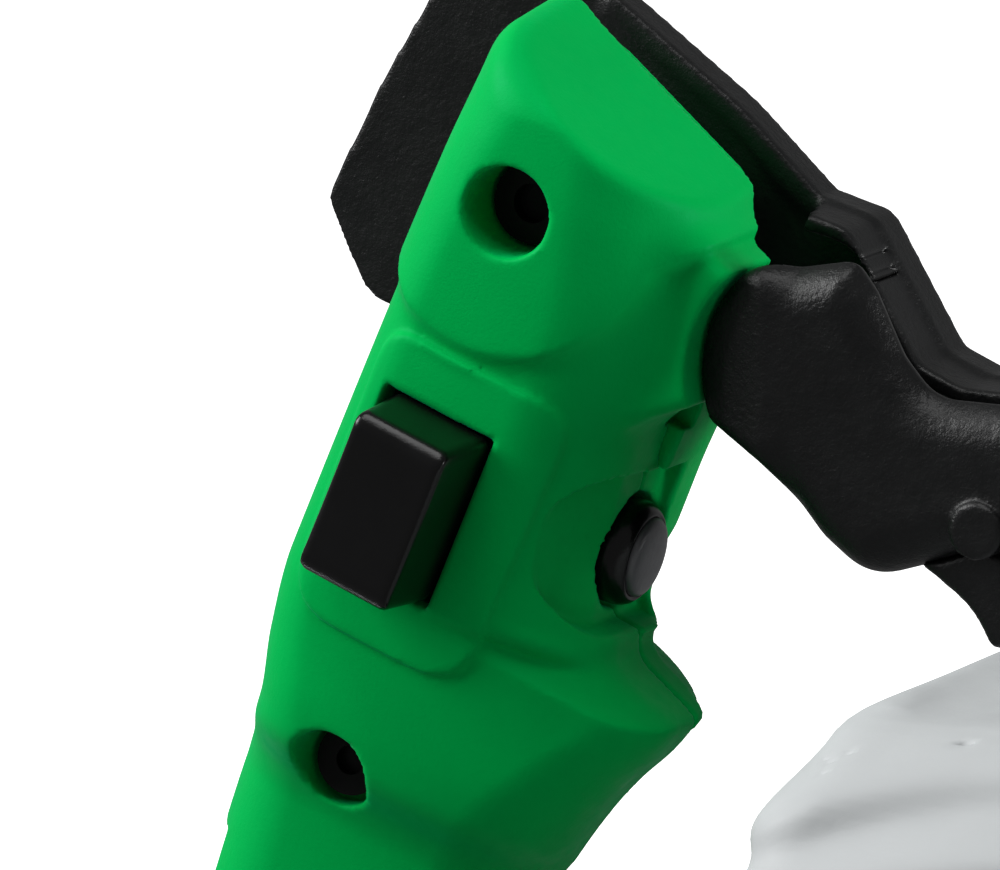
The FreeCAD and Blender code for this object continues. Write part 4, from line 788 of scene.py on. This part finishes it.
def bow_plate():
    """The plate with its rim, which is deeper behind the head's rear edge."""
    v = grid(-62.5, 37.0, 0.5)[:, None, None]
    y = grid(-21.5, -8.0, FINE)[None, :, None]
    u = grid(12.0, 62.0, 0.5)[None, None, :]
    side = outline_field(v[:, 0, :], u[:, 0, :], PLATE_OUTLINE)[:, None, :]
    rim_near = -16.0 + 6.9 * ramp(v, -14.6, -16.6)
    edge_up = u - curve(v, [(spot[0], spot[1]) for spot in PLATE_TOP])
    rim = np.maximum(side, np.maximum(-1.7 - edge_up, v - 14.0))
    sheet = rounded(np.maximum(side, y - PLATE_FACE), PLATE_FAR - y, 0.8)
    raised = rounded(rim, y - rim_near, 0.5)
    shape = join(sheet, np.maximum(raised, PLATE_FAR - y), 1.5)
    shape = cut(shape, disc(v, u, BOLT_WELL, 3.1))
    axes = (v[:, 0, 0], y[0, :, 0], u[0, 0, :])
    finish_piece(skin("bow_plate_skin", shape, axes, HANDLE, "frame", "bow_plate"), "black_nylon")


bow_plate()

# ---------------------------------------------------------------- floor, light and camera

FLOOR = 30.0
WORLD_STRENGTH = 0.24
floor_corners = [(-FLOOR, -FLOOR, 0), (FLOOR, -FLOOR, 0), (FLOOR, FLOOR, 0), (-FLOOR, FLOOR, 0)]
floor_mesh = bpy.data.meshes.new("floor")
floor_mesh.from_pydata(floor_corners, [], [(0, 1, 2, 3)])
floor = bpy.data.objects.new("floor", floor_mesh)
bpy.context.scene.collection.objects.link(floor)
floor.data.materials.append(material("floor_white", (0.93, 0.93, 0.93), 0.9, specular=0.0))
shader = floor.data.materials[0].node_tree.nodes["Principled BSDF"]
shader.inputs["Emission Color"].default_value = (1.0, 1.0, 1.0, 1.0)
shader.inputs["Emission Strength"].default_value = 0.9
floor.visible_diffuse = False
floor.visible_glossy = False

world = bpy.data.worlds.new("studio")
bpy.context.scene.world = world
world.use_nodes = True
world.node_tree.nodes["Background"].inputs["Color"].default_value = (1.0, 1.0, 1.0, 1.0)
world.node_tree.nodes["Background"].inputs["Strength"].default_value = WORLD_STRENGTH


def area_light(name, power, size, place, target):
    lamp = bpy.data.lights.new(name, "AREA")
    lamp.energy = power
    lamp.size = size
    lamp_object = bpy.data.objects.new(name, lamp)
    lamp_object.location = place
    lamp_object.rotation_euler = (Vector(target) - Vector(place)).to_track_quat("-Z", "Y").to_euler()
    bpy.context.scene.collection.objects.link(lamp_object)


target = handle_origin + Vector((-4.4, 0.0, 15.1)) * MM
look = Vector((0.4162, -0.8925, -0.1736)).normalized()
CAMERA_AWAY = 2.0
# lens length in mm for each metre that the camera stands away
LENS_PER_METRE = 360.0
right = look.cross(Vector((0.0, 0.0, 1.0))).normalized()
rise = right.cross(look)


def studio_spot(sideways, above, nearer):
    """A place relative to the camera's view of the handle, in metres."""
    return target + right * sideways + rise * above - look * nearer


area_light("key", 31.0, 0.8, studio_spot(-1.2, 0.8, 0.2), target)
area_light("top", 10.0, 0.8, studio_spot(-0.1, 1.3, 0.6), target)
area_light("side", 28.0, 0.5, studio_spot(1.4, -0.2, 0.3), target)

camera_data = bpy.data.cameras.new("camera")
camera = bpy.data.objects.new("camera", camera_data)
bpy.context.scene.collection.objects.link(camera)
bpy.context.scene.camera = camera
camera_data.sensor_width = 36.0
camera_data.lens = LENS_PER_METRE * CAMERA_AWAY
camera_data.clip_start = 0.1
camera_data.clip_end = 200.0
camera.location = target - look * CAMERA_AWAY
camera.rotation_euler = look.to_track_quat("-Z", "Y").to_euler()
bpy.context.scene.view_settings.view_transform = "Standard"

bpy.context.view_layer.update()
